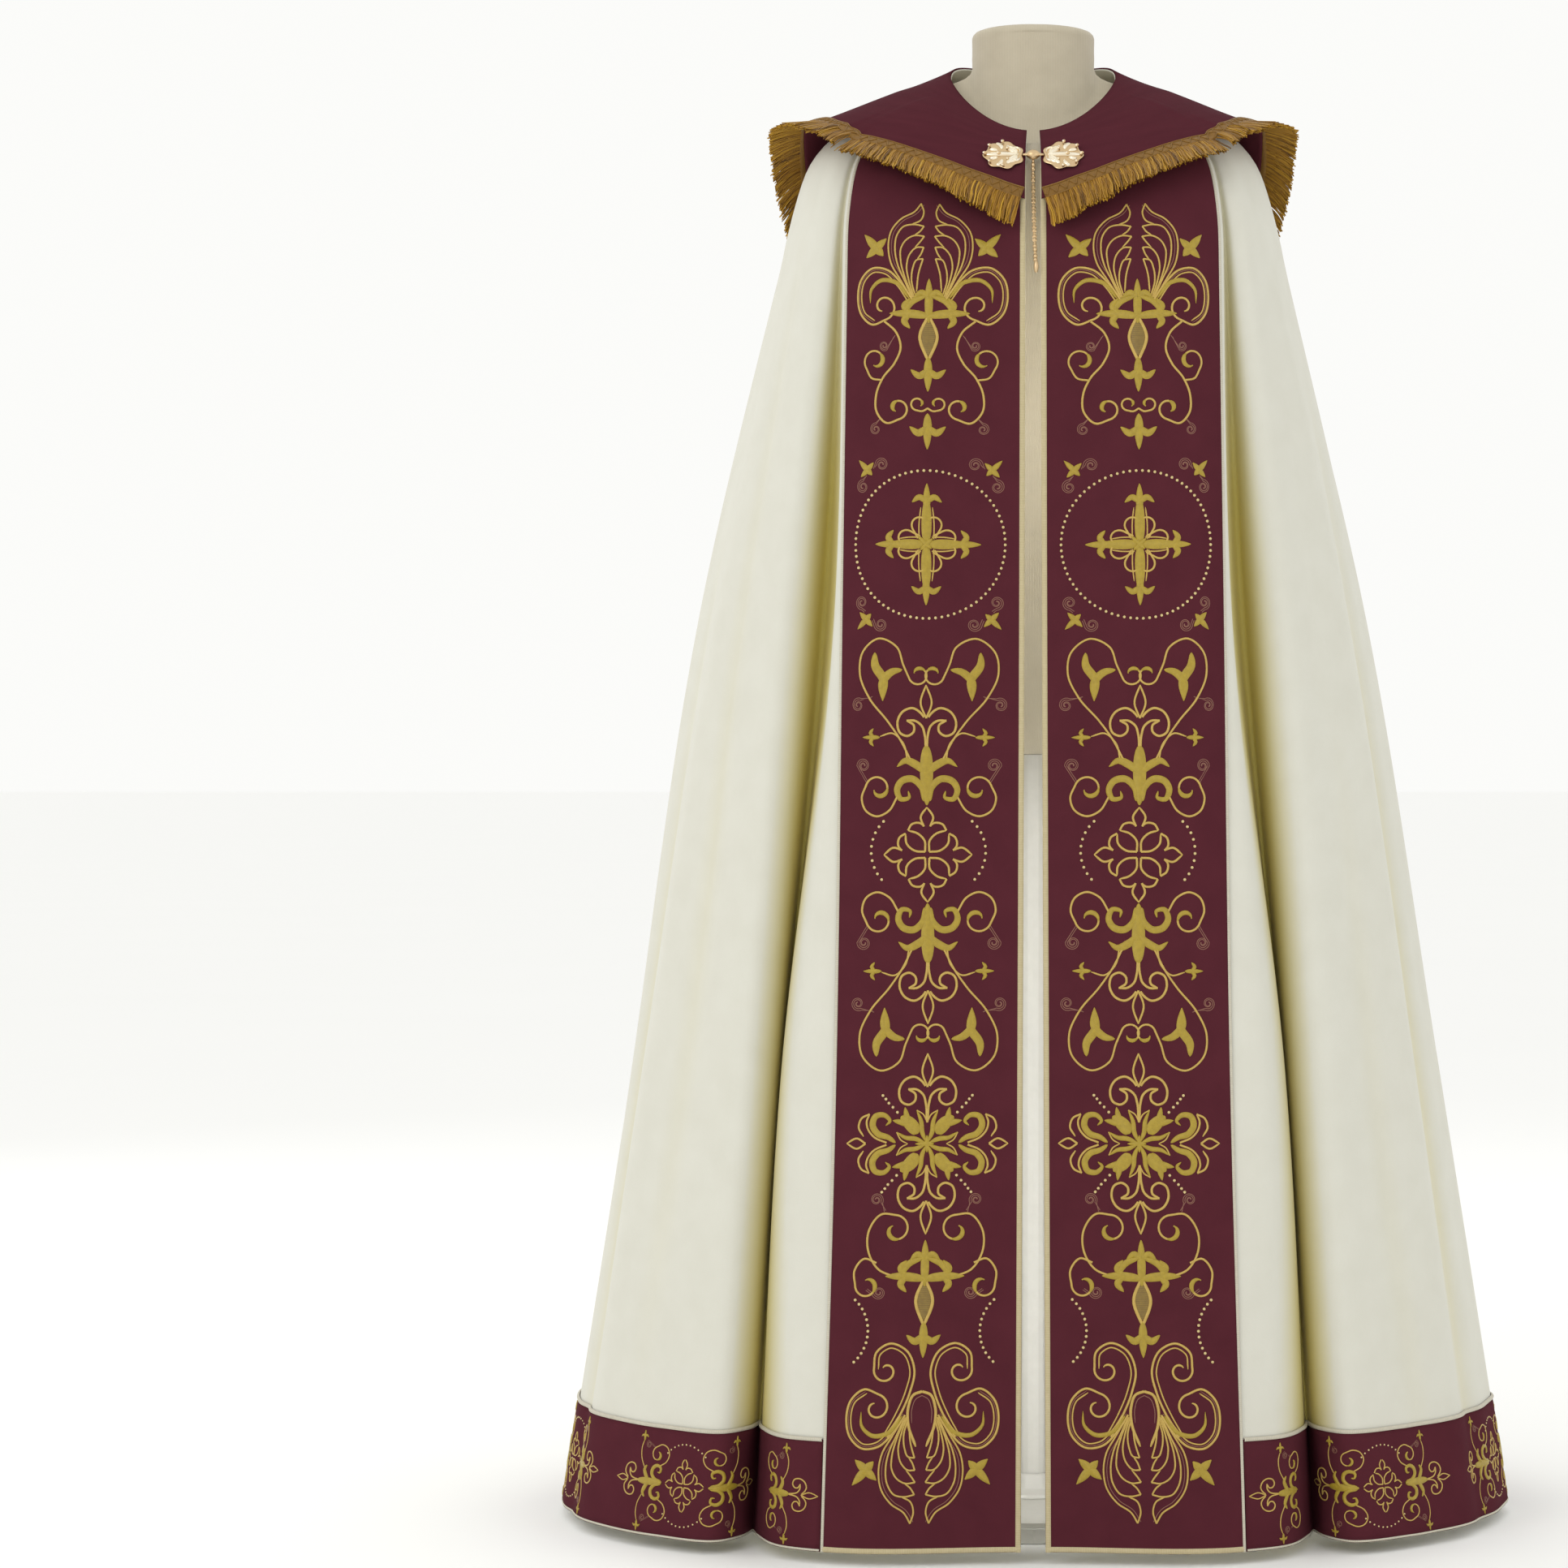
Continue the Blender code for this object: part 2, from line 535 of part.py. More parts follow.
def make_hook(parent):
    """A turned knob with two short ends, which join the clasp's halves across the opening."""
    end = hook_end()
    half_length = end[0] - GAP
    profile = [(-half_length, 0.0)]
    for i in range(9):
        share = i / 8
        radius = HOOK_END_RADIUS + (HOOK_KNOB_RADIUS - HOOK_END_RADIUS) * sin(pi * share) ** 2
        profile.append((half_length * (2 * share - 1), radius))
    profile.append((half_length, 0.0))
    shape = bmesh.new()
    verts = [shape.verts.new((x, 0, r)) for x, r in profile]
    edges = [shape.edges.new(pair) for pair in zip(verts, verts[1:])]
    turned = {"cent": (0, 0, 0), "axis": (1, 0, 0), "angle": 2 * pi, "steps": 12, "use_merge": True}
    bmesh.ops.spin(shape, geom=verts + edges, **turned)
    bmesh.ops.remove_doubles(shape, verts=shape.verts[:], dist=1e-6)
    made = add_object("clasp_hook", finish_mesh("clasp_hook", shape), "pale_gold", parent)
    made.location = (0.0, end[1], end[2])


def chain_route():
    """Points of the chain, from just under the knob down in front of the opening between the orphreys."""
    end = hook_end()
    top = end[2] - HOOK_KNOB_RADIUS - GAP
    route = []
    for i in range(CHAIN_POINTS):
        share = i / (CHAIN_POINTS - 1)
        z = top - CHAIN_LENGTH * share
        front = surface(1.0, t_at_height(1.0, z))[1] - CHAIN_FORWARD
        ease = share * share * (3 - 2 * share)
        route.append(Vector((CHAIN_SWAY * share**2, (1 - ease) * end[1] + ease * front, z)))
    return route


def make_chain(parent):
    """The thin chain that hangs from the hook, as a plain tube."""
    line = bpy.data.curves.new("clasp_chain", "CURVE")
    line.dimensions = "3D"
    line.bevel_depth = CHAIN_DIAMETER / 2
    line.bevel_resolution = 2
    line.use_fill_caps = True
    route = chain_route()
    spline = line.splines.new("POLY")
    spline.points.add(len(route) - 1)
    for point, place in zip(spline.points, route):
        point.co = (*place, 1.0)
    add_object("clasp_chain", line, "pale_gold", parent)


def torso_ring(section, us):
    """One oval section of the torso."""
    half_width, front, back, z = section
    ring = []
    for u in us:
        x, y = plan(u, "hood", True)
        turn = np.arctan2(x, -TURN_DEPTH * y)
        ring.append((half_width * sin(turn), -(front if cos(turn) > 0 else back) * cos(turn), z))
    return ring


def make_torso(parent):
    """The limbless form: a flat-topped neck, shoulders that carry the cloak, and a torso down to the hips."""
    us = round_steps()
    inward = -(WALL + FORM_CLEARANCE)
    cap = (CAP_HALF_WIDTH, CAP_HALF_DEPTH, CAP_HALF_DEPTH)
    rounded = tuple(size - CAP_ROUNDING for size in cap)
    rings = [torso_ring((*rounded, CAP_TOP_Z), us), torso_ring((*cap, CAP_TOP_Z - CAP_ROUNDING), us)]
    foot = torso_ring((*cap, NECK_FOOT_Z), us)
    rings.append([(x, y, z - NECK_FOOT_DROP * max(0.0, -y / CAP_HALF_DEPTH)) for x, y, z in foot])
    points, outward = base_grid()
    rings += [points[row] + inward * outward[row] for row in FORM_CONTACT_ROWS]
    rings += [torso_ring(section, us) for section in TORSO]
    shape = bmesh.new()
    loops = [[shape.verts.new(p) for p in ring] for ring in rings]
    for upper, lower in zip(loops, loops[1:]):
        for i in range(len(us)):
            j = (i + 1) % len(us)
            shape.faces.new((upper[i], upper[j], lower[j], lower[i]))
    shape.faces.new(loops[0])
    shape.faces.new(loops[-1])
    add_object("form_torso", finish_mesh("form_torso", shape), "form_cloth", parent)


def make_stand(parent):
    """The pole under the torso and the round base on the floor."""
    foot, top = BASE_HEIGHT + GAP, TORSO[-1][TORSO_COLUMNS.index("height")] - GAP
    shape = bmesh.new()
    upright = {"cap_ends": True, "segments": 20, "radius1": POLE_RADIUS, "radius2": POLE_RADIUS, "depth": top - foot}
    bmesh.ops.create_cone(shape, **upright)
    pole = add_object("form_pole", finish_mesh("form_pole", shape), "painted_steel", parent)
    pole.location = (0, 0, (foot + top) / 2)
    shape = bmesh.new()
    disc = {"cap_ends": True, "segments": 40, "radius1": BASE_RADIUS, "radius2": BASE_RADIUS, "depth": BASE_HEIGHT}
    bmesh.ops.create_cone(shape, matrix=Matrix.Translation((0, 0, BASE_HEIGHT / 2)), **disc)
    rim = [e for e in shape.edges if all(v.co.z > BASE_HEIGHT - 1e-6 for v in e.verts)]
    bmesh.ops.bevel(shape, geom=rim, offset=BASE_BEVEL, segments=2, affect="EDGES")
    add_object("form_base", finish_mesh("form_base", shape), "painted_steel", parent)


def main():
    for old in list(bpy.data.objects):
        bpy.data.objects.remove(old)
    parent = bpy.data.objects.new("cope_on_form", None)
    bpy.context.collection.objects.link(parent)
    for make in (
        make_stand, make_torso, make_cloak, make_orphreys, make_hem_bands,
        make_hood, make_fringe, make_clasp, make_hook, make_chain,
    ):
        make(parent)


main()
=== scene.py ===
# %% [markdown]
# # A cope on a dress form
#
# A cope is a floor-length cloak that is open down the front. This one is cream wool with two embroidered maroon
# bands, called orphreys, along its front edges, a maroon hood with a gold fringe over the shoulders, a maroon band
# round its foot, and a metal clasp. It hangs on a plain form with a pole and a round base.
#
# The lesson dresses a plain model, the frame, whose sizes stay as they are. Each piece of cloth becomes a thin sheet
# with real thickness, and the needlework is laid on it as raised thread. Units are metres, +Z is up, and the open
# front faces -Y.

from math import atan2, cos, degrees, pi, radians, sin, tau

import bmesh
import bpy
import numpy as np
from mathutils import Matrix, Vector
from mathutils.bvhtree import BVHTree


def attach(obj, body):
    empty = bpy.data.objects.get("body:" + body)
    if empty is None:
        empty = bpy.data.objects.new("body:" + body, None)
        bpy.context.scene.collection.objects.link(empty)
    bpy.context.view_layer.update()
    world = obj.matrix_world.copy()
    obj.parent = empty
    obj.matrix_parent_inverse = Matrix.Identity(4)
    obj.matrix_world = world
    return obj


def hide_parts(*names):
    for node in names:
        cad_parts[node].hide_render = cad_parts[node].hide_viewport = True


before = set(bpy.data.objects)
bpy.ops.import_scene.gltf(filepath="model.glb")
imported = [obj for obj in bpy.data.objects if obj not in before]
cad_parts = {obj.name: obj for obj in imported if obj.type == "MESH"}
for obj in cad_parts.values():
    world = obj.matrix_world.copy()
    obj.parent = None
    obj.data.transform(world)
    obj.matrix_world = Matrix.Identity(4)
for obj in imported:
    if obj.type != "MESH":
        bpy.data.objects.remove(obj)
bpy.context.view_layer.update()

# %% [markdown]
# ## Camera, lights and floor
#
# The reference is a level catalogue shot from far away, so a long lens stands about 4.3 m in front of the form. The
# object is a little to the right of the picture's middle. Shifting the lens sideways does that without turning the
# camera, so upright lines stay upright.

# %% Camera
PICTURE = 1932  # pixels on each side
FOCAL = 5000  # focal length in pixels
AXIS_X, CAMERA_Y, CAMERA_Z = 1273, -4.285, 0.769

camera = bpy.data.objects.new("camera", bpy.data.cameras.new("camera"))
camera.data.sensor_width = 36
camera.data.lens = 36 * FOCAL / PICTURE
camera.data.shift_x = -(AXIS_X - PICTURE / 2) / PICTURE
camera.data.clip_end = 900
camera.location = (0, CAMERA_Y, CAMERA_Z)
camera.rotation_euler = (radians(90), 0, 0)
bpy.context.collection.objects.link(camera)
bpy.context.scene.camera = camera
print("lens", round(camera.data.lens, 1), "mm")

# %% [markdown]
# Catalogue light is soft and comes from nearly everywhere, and the folds still read because the sides get less of it
# than the front. A pale world gives the even part. One large area light high on the left is a little stronger than
# the one on the right, and two weak ones fill the back, which the closing views show as well. Six slim, very weak
# lamps stand inside the cloak, out of sight, so that the narrow front opening doesn't read as a black line.


# %% Lights
LOOK_AT = (0, 0, 0.8)
# Each row: place, size, watts, colour
LIGHTS = {
    "key": ((-2.4, -3.4, 2.6), 2.0, 30, (1.0, 0.99, 0.98)),
    "fill": ((2.8, -2.8, 1.9), 2.4, 6, (0.97, 0.98, 1.0)),
    "back_left": ((-2.6, 2.8, 2.4), 2.2, 20, (1.0, 0.99, 0.97)),
    "back_right": ((2.4, 3.2, 2.6), 2.2, 9, (1.0, 0.99, 0.97)),
}
# Each row: x, y, middle height, length, watts
INSIDE_LAMPS = ((0.10, -0.17, 0.40, 0.75, 0.45), (0.11, -0.19, 0.93, 0.26, 0.12), (0.10, -0.172, 1.20, 0.26, 0.22))
INSIDE_WIDTH = 0.03


def area_light(name, place, aim, size, watts, colour=(1.0, 1.0, 1.0), length=None):
    """A round lamp, or a long slim one where a length is given, turned from its place to its aim."""
    lamp = bpy.data.lights.new(name, "AREA")
    lamp.shape, lamp.size, lamp.energy, lamp.color = "RECTANGLE" if length else "DISK", size, watts, colour
    if length:
        lamp.size_y = length
    made = bpy.data.objects.new(name, lamp)
    made.location = place
    made.rotation_euler = (Vector(aim) - Vector(place)).to_track_quat("-Z", "Y").to_euler()
    bpy.context.collection.objects.link(made)


for name, (place, size, watts, colour) in LIGHTS.items():
    area_light(name, place, LOOK_AT, size, watts, colour)
for x, y, height, length, watts in INSIDE_LAMPS:
    for side in (-1, 1):
        area_light("inside", (side * x, y, height), (0, 0.3 * y, height), INSIDE_WIDTH, watts, length=length)

world = bpy.data.worlds.new("studio")
world.use_nodes = True
world.node_tree.nodes["Background"].inputs["Color"].default_value = (1.0, 1.0, 0.98, 1)
world.node_tree.nodes["Background"].inputs["Strength"].default_value = 0.97
bpy.context.scene.world = world
bpy.context.scene.view_settings.view_transform = "Standard"
print(len(LIGHTS), "lights outside and", 2 * len(INSIDE_LAMPS), "inside")

# %% [markdown]
# ## Materials
#
# A material is a small web of nodes. Written out one node at a time it is long and hard to read, so two small classes
# help. Wire wraps one socket and turns +, -, * and / into Math nodes, so shader maths reads like ordinary maths.
# Paint holds one material, and its node method adds any other node.


# %% Shader helpers
class Wire:
    """A value on its way through a material's nodes."""

    def __init__(self, paint, socket):
        self.paint, self.socket = paint, socket

    def maths(self, operation, first, second):
        return self.paint.node("Math", {"operation": operation}, {0: first, 1: second})

    def __add__(self, other):
        return self.maths("ADD", self, other)

    def __radd__(self, other):
        return self.maths("ADD", other, self)

    def __sub__(self, other):
        return self.maths("SUBTRACT", self, other)

    def __rsub__(self, other):
        return self.maths("SUBTRACT", other, self)

    def __mul__(self, other):
        return self.maths("MULTIPLY", self, other)

    def __rmul__(self, other):
        return self.maths("MULTIPLY", other, self)

    def __truediv__(self, other):
        return self.maths("DIVIDE", self, other)

    def __rtruediv__(self, other):
        return self.maths("DIVIDE", other, self)

    def __pow__(self, other):
        return self.maths("POWER", self, other)


class Paint:
    """One material, built node by node."""

    def __init__(self, name, **fixed):
        self.material = bpy.data.materials.new(name)
        self.material.use_nodes = True
        self.tree = self.material.node_tree
        self.shader = self.tree.nodes["Principled BSDF"]
        for socket, value in fixed.items():
            self.shader.inputs[socket.replace("_", " ")].default_value = value

    def node(self, kind, settings=None, sockets=None, output=0):
        """Adds a node: its settings first, then the values or wires of its sockets."""
        made = self.tree.nodes.new("ShaderNode" + kind)
        for key, value in (settings or {}).items():
            if key == "stops":
                ramp = made.color_ramp
                for element, (at, colour) in zip((ramp.elements[0], ramp.elements[1]), (value[0], value[-1])):
                    element.position, element.color = at, (*colour, 1)
                for at, colour in value[1:-1]:
                    ramp.elements.new(at).color = (*colour, 1)
            else:
                setattr(made, key, value)
        for key, value in (sockets or {}).items():
            self.feed(made.inputs[key], value)
        return Wire(self, made.outputs[output])

    def feed(self, socket, value):
        if isinstance(value, Wire):
            self.tree.links.new(value.socket, socket)
            return
        is_colour = socket.type == "RGBA" and len(value) == 3
        socket.default_value = (*value, 1) if is_colour else value

    def mix(self, share, first, second):
        """A colour between two others."""
        return self.node("Mix", {"data_type": "RGBA"}, {0: share, 6: first, 7: second}, 2)

    def noise(self, where, scale, detail=3.0):
        return self.node("TexNoise", {}, {"Vector": where, "Scale": scale, "Detail": detail})

    def place(self, source="Object"):
        return self.node("TexCoord", {}, {}, source)

    def surface(self, **varying):
        for socket, value in varying.items():
            self.feed(self.shader.inputs[socket.replace("_", " ")], value)

    def relief(self, height, depth, strength=1.0, under=None):
        """A Bump node: height from 0 to 1 stands depth metres high."""
        sockets = {"Height": height, "Distance": depth, "Strength": strength}
        if under is not None:
            sockets["Normal"] = under
        return self.node("Bump", {}, sockets)


def linear(red, green, blue):
    """A screen colour, 0 to 255, as the linear numbers that a shader needs."""
    return tuple(((c / 255 + 0.055) / 1.055) ** 2.4 if c > 10 else c / 255 / 12.92 for c in (red, green, blue))


print("cream in linear numbers:", [round(c, 3) for c in linear(228, 225, 211)])

# %% [markdown]
# ### Woven cloth
#
# Wool cloth is a grid of warp and weft threads, each about half a millimetre wide. Two wave textures at right angles,
# one for each set of threads, make a height that a Bump node turns into relief. The waves read the cloth's own UV
# map, which is in metres along the sheet, so the weave follows every fold at its true size. A slow noise keeps the
# colour from being flat.
#
# The cream also has a second colour, a warm olive mixed into its base colour deep in the folds. It is painted shade:
# it stands in for the light that wool bounces off itself there. A colour attribute named depth, which each sheet gets
# when it is made, says how deep in a fold a point lies.


# %% Weave
def thread_height(paint, pitch, swap=False):
    """Ridges of thread along one direction of the UV map."""
    uv = paint.node("UVMap", {"uv_map": "cloth"})
    split = paint.node("SeparateXYZ", {}, {0: uv}, 1 if swap else 0)
    return paint.node("Math", {"operation": "SINE"}, {0: split * (tau / pitch)}) * 0.5 + 0.5


def woven(name, light, dark, pitch, depth, **fixed):
    """Plain weave in two close tones."""
    paint = Paint(name, **fixed)
    warp, weft = thread_height(paint, pitch), thread_height(paint, pitch, True)
    height = warp * weft + (1 - warp) * (1 - weft)
    mottle = paint.noise(paint.node("UVMap", {"uv_map": "cloth"}), 26.0)
    fuzz = paint.noise(paint.place(), 900.0, 2.0)
    tone = height * 0.35 + mottle * 0.45 + fuzz * 0.2
    colour = paint.mix(tone, dark, light)
    paint.surface(Normal=paint.relief(height * 0.8 + fuzz * 0.4, depth, 0.5))
    return paint, colour


cream, cream_colour = woven(
    "cream_wool", linear(221, 220, 210), linear(203, 201, 187), 0.0009, 0.00012,
    Roughness=0.9, Specular_IOR_Level=0.25, Sheen_Weight=0.12, Sheen_Roughness=0.5,
)
# Painted shade: a warm olive mixed into the base colour where the depth attribute says a point lies deep in a fold.
fold_shade = cream.node("Attribute", {"attribute_name": "depth"}, {}, "Fac")
cream.surface(Base_Color=cream.mix(fold_shade, cream_colour, linear(206, 192, 112)))

maroon, maroon_colour = woven(
    "maroon_wool", linear(93, 43, 52), linear(67, 29, 37), 0.0008, 0.0001,
    Roughness=1.0, Specular_IOR_Level=0.05,
)
maroon.surface(Base_Color=maroon_colour)
print("cloths:", cream.material.name, maroon.material.name)

# %% [markdown]
# ### Thread, braid and fringe
#
# Machine embroidery is glossy rayon thread, laid side by side across each line. The stitched pieces carry their
# own UV map, along and across the line, so fine stripes across it read as single threads. Gold fills, pale outlines
# and thin brown spirals are three colours of the same thread.


# %% Thread
def stitched(name, light, dark, pitch=0.0006, depth=0.00012, roughness=0.42):
    paint = Paint(name, Roughness=roughness, Sheen_Weight=0.05)
    ridges = thread_height(paint, pitch)
    patchy = paint.noise(paint.place(), 240.0, 2.0)
    paint.surface(
        Base_Color=paint.mix(ridges * 0.55 + patchy * 0.45, dark, light),
        Normal=paint.relief(ridges, depth, 0.6),
    )
    return paint.material


gold_thread = stitched("gold_thread", linear(192, 166, 46), linear(126, 101, 18))
pale_thread = stitched("pale_gold_thread", linear(216, 186, 96), linear(156, 122, 46))
brown_thread = stitched("brown_thread", linear(150, 104, 78), linear(104, 62, 54))
net_thread = stitched("netted_gold_thread", linear(150, 124, 48), linear(84, 60, 26), 0.0014)
bead_thread = stitched("knot_thread", linear(240, 222, 164), linear(196, 168, 104))
border_braid = stitched("border_braid", linear(206, 192, 156), linear(168, 154, 112), 0.0012, 0.0002, 0.7)
piping_cord = stitched("cream_piping", linear(214, 208, 192), linear(172, 166, 146), 0.0014, 0.0002, 0.75)
heading_braid = stitched("heading_braid", linear(158, 114, 28), linear(100, 66, 10), 0.0012, 0.0003, 0.5)

fringe = Paint("fringe_thread", Roughness=0.5)
strand_tone = fringe.node("Attribute", {"attribute_name": "tone"}, {}, "Fac")
fringe.surface(
    Base_Color=fringe.node(
        "ValToRGB",
        {"stops": [(0.0, linear(92, 58, 6)), (0.45, linear(158, 112, 20)), (1.0, linear(206, 160, 44))]},
        {0: strand_tone},
    ),
    Normal=fringe.relief(thread_height(fringe, 0.0011), 0.0002, 0.5),
)
print("threads ready")

# %% [markdown]
# ### Metal, jersey and painted steel
#
# The clasp is cast and plated in a pale, slightly pink gold. Its leaves are painted darker towards their edges, as
# painted shade in the grooves between them: the UV map of a leaf holds the distance from its ridge, which mixes the
# two. Noise moves the roughness a little. The form's cover is a beige knit with tiny ribs, and the pole and base are
# pale enamel, so they stay quiet behind the opening.

# %% Hard finishes
plate = Paint("pale_gold_plate", Metallic=1.0)
wear = plate.noise(plate.place(), 160.0, 4.0)
# Painted shade: each leaf turns darker towards its edges, away from its ridge. The plate, beads, knob and chain have a
# large second UV value, so they take the darker colour all over.
off_ridge = plate.node("SeparateXYZ", {}, {0: plate.node("UVMap", {"uv_map": "cloth"})}, 1)
painted_groove_shade = plate.node("Math", {"operation": "ABSOLUTE", "use_clamp": True}, {0: off_ridge * 290.0}) ** 2.0
plate.surface(
    Base_Color=plate.mix(painted_groove_shade, plate.mix(wear, linear(246, 234, 206), linear(255, 250, 236)), linear(216, 188, 146)),
    Roughness=wear * 0.2 + 0.24,
    Normal=plate.relief(plate.noise(plate.place(), 700.0, 2.0), 0.0002, 0.15),
)

jersey = Paint("form_jersey", Roughness=0.92, Sheen_Weight=0.2)
knit = jersey.node(
    "TexWave",
    {"wave_type": "BANDS", "bands_direction": "X"},
    {"Vector": jersey.place(), "Scale": 190.0, "Distortion": 1.5},
)
knit_tone = knit * 0.4 + jersey.noise(jersey.place(), 60.0) * 0.6
jersey.surface(
    Base_Color=jersey.mix(knit_tone, linear(176, 166, 144), linear(200, 190, 168)),
    Normal=jersey.relief(knit, 0.0003, 0.4),
)

enamel = Paint("ivory_enamel", Metallic=0.0, Coat_Weight=0.4, Coat_Roughness=0.2)
peel = enamel.noise(enamel.place(), 90.0, 4.0)
enamel.surface(
    Base_Color=enamel.mix(peel, linear(219, 217, 209), linear(230, 228, 221)),
    Roughness=peel * 0.2 + 0.34,
    Normal=enamel.relief(peel, 0.0002, 0.2),
)
print("hard finishes ready")

# %% [markdown]
# ## The shape of the cloth
#
# All the cloth hangs in one set of folds, so all of it is read from one surface. Its plan is a row of fold lines, each
# with a place at four heights: under the hood, at the elbow, at the knee and at the hem. A smooth curve runs through
# them round the cloak, and another one down through the four heights. u goes round, from -1 at the left front edge,
# through 0 at the centre back, to 1 at the right front edge. t goes down, from 0 at the neckline to 1 at the hem.

# %% The fold table
HEM_Z, BAND_TOP_Z = 0.012, 0.122
LEVELS = np.array((0.012, 0.48, 0.95, 1.36))
NECK_HALF_WIDTH, NECK_FRONT, NECK_BACK, NECK_SIDE_Z = 0.0865, 0.120, 0.075, 1.515
SHOULDER_Z, SHOULDER_T = 1.455, 0.13
GAP = 0.0003

FOLD_COLUMNS = ("name", "crest", "hood", "elbow", "knee", "hem")
FOLDS = (
    ("centre_back", True, (0.000, 0.175), (0.000, 0.268), (0.000, 0.358), (0.000, 0.432)),
    ("back_panel", True, (0.086, 0.168), (0.124, 0.264), (0.152, 0.354), (0.172, 0.428)),
    ("back_lip", True, (0.118, 0.160), (0.160, 0.254), (0.190, 0.344), (0.212, 0.419)),
    ("back_valley", False, (0.134, 0.153), (0.176, 0.224), (0.208, 0.292), (0.236, 0.352)),
    ("back_flute_inner", False, (0.148, 0.150), (0.194, 0.246), (0.226, 0.336), (0.256, 0.404)),
    ("back_flute", True, (0.166, 0.142), (0.222, 0.248), (0.262, 0.342), (0.304, 0.412)),
    ("back_seam", True, (0.208, 0.112), (0.276, 0.206), (0.332, 0.284), (0.384, 0.346)),
    ("side_back", True, (0.242, 0.062), (0.328, 0.118), (0.398, 0.168), (0.468, 0.212)),
    ("side", True, (0.254, 0.002), (0.349, 0.020), (0.4225, 0.034), (0.499, 0.048)),
    ("side_front", True, (0.246, -0.068), (0.334, -0.070), (0.405, -0.083), (0.476, -0.079)),
    ("flute_outer", True, (0.226, -0.128), (0.284, -0.165), (0.335, -0.190), (0.3805, -0.202)),
    ("flute_front", True, (0.208, -0.152), (0.247, -0.196), (0.284, -0.222), (0.316, -0.233)),
    ("flute_inner", False, (0.199, -0.154), (0.231, -0.190), (0.264, -0.205), (0.295, -0.205)),
    ("front_valley", False, (0.194, -0.150), (0.213, -0.150), (0.2535, -0.152), (0.284, -0.171)),
    ("panel_lip", False, (0.193, -0.156), (0.198, -0.206), (0.2515, -0.216), (0.276, -0.200)),
    ("panel_turn", False, (0.192, -0.160), (0.1955, -0.236), (0.230, -0.260), (0.249, -0.260)),
    ("orphrey_edge", True, (0.188, -0.164), (0.190, -0.242), (0.196, -0.271), (0.208, -0.284)),
    ("front_edge", True, (0.0078, -0.190), (0.0088, -0.244), (0.0105, -0.272), (0.0122, -0.286)),
)
NAMES = [fold[0] for fold in FOLDS]
CREST = np.array([fold[1] for fold in FOLDS])
PLACES = {level: np.array([fold[FOLD_COLUMNS.index(level)] for fold in FOLDS]) for level in FOLD_COLUMNS[2:]}
print(len(FOLDS), "fold lines in each half")


# %% Curves through the table
def pick(grid, rows):
    """One row of grid for each sample."""
    return grid[rows] if grid.ndim == 2 else grid[rows, np.arange(len(rows))]


def curve(knots, points, at):
    """A smooth curve through points, one for each knot, read at many values of the knots."""
    slopes = np.gradient(points, knots, axis=0)
    i = np.clip(np.searchsorted(knots, at) - 1, 0, len(knots) - 2)
    span = (knots[i + 1] - knots[i])[:, None]
    s = (at - knots[i])[:, None] / span
    start = (1 + 2 * s) * (1 - s) ** 2 * pick(points, i) + s * (1 - s) ** 2 * span * pick(slopes, i)
    end = s * s * (3 - 2 * s) * pick(points, i + 1) + s * s * (s - 1) * span * pick(slopes, i + 1)
    return start + end


def way_along(points):
    """The distance along a row of points, at each of them."""
    return np.concatenate(([0.0], np.cumsum(np.linalg.norm(np.diff(points, axis=0), axis=-1))))


WAYS = [way_along(places) for places in PLACES.values()]
KNOTS = np.mean([way / way[-1] for way in WAYS], axis=0)
SEAM_U, ORPHREY_U = KNOTS[NAMES.index("back_seam")], KNOTS[NAMES.index("orphrey_edge")]


def plan(u, level, bridged):
    """Plan points at one height. The hood is bridged: it lies on the crests and leaves the valleys out."""
    kept = CREST if bridged else np.ones(len(FOLDS), bool)
    half = PLACES[level][kept]
    way = way_along(half)
    at = np.sign(u) * np.interp(np.abs(u), KNOTS[kept], way)
    return curve(np.concatenate((-way[:0:-1], way)), np.concatenate((half[:0:-1] * (-1, 1), half)), at)


def bare_surface(u, t, bridged):
    """Points of the cloak's outer face, for flat arrays of u and t."""
    x, y = plan(u, "hood", bridged).T
    turn = np.arctan2(x, -0.541 * y)
    front = np.cos(turn)
    depth = np.where(front > 0, NECK_FRONT, NECK_BACK)
    neck = np.stack((NECK_HALF_WIDTH * np.sin(turn), -depth * front, NECK_SIDE_Z - 0.046 * front - 0.031 * front**2), 1)
    shoulder = np.stack((1.03 * x, 0.85 * y, SHOULDER_Z - 0.035 * front - 0.015 * front**2), 1)
    s = np.clip(t / SHOULDER_T, 0, 1)[:, None]
    under_hood = np.stack((x, y, np.full_like(x, LEVELS[-1])), 1)
    top = (1 - s) ** 2 * neck + 2 * s * (1 - s) * shoulder + s * s * under_hood
    z = LEVELS[-1] + (HEM_Z - LEVELS[-1]) * (t - SHOULDER_T) / (1 - SHOULDER_T)
    rows = np.array([plan(u, level, bridged) for level in ("hem", "knee", "elbow", "hood")])
    skirt = np.column_stack((curve(LEVELS, rows, z), z))
    return np.where(t[:, None] <= SHOULDER_T, top, skirt)


print("u of the back seam and of the orphrey's edge:", round(SEAM_U, 3), round(ORPHREY_U, 3))

# %% [markdown]
# Heavy cloth never turns a sharp corner where the shoulder ends, so the surface is averaged a little up and down near
# there. On top of it come soft creases that the fold table is too coarse for. They are listed one by one, and no two
# are of one length, width or depth. Each one is a trough or a ridge along the cloth, with a bell-shaped section that
# fades out at both ends.

# %% Creases
ROUNDING = ((-1.0, 0.08), (-0.6, 0.17), (-0.25, 0.16), (0.0, 0.18), (0.25, 0.16), (0.6, 0.17), (1.0, 0.08))
ROUNDING_REACH = 0.050

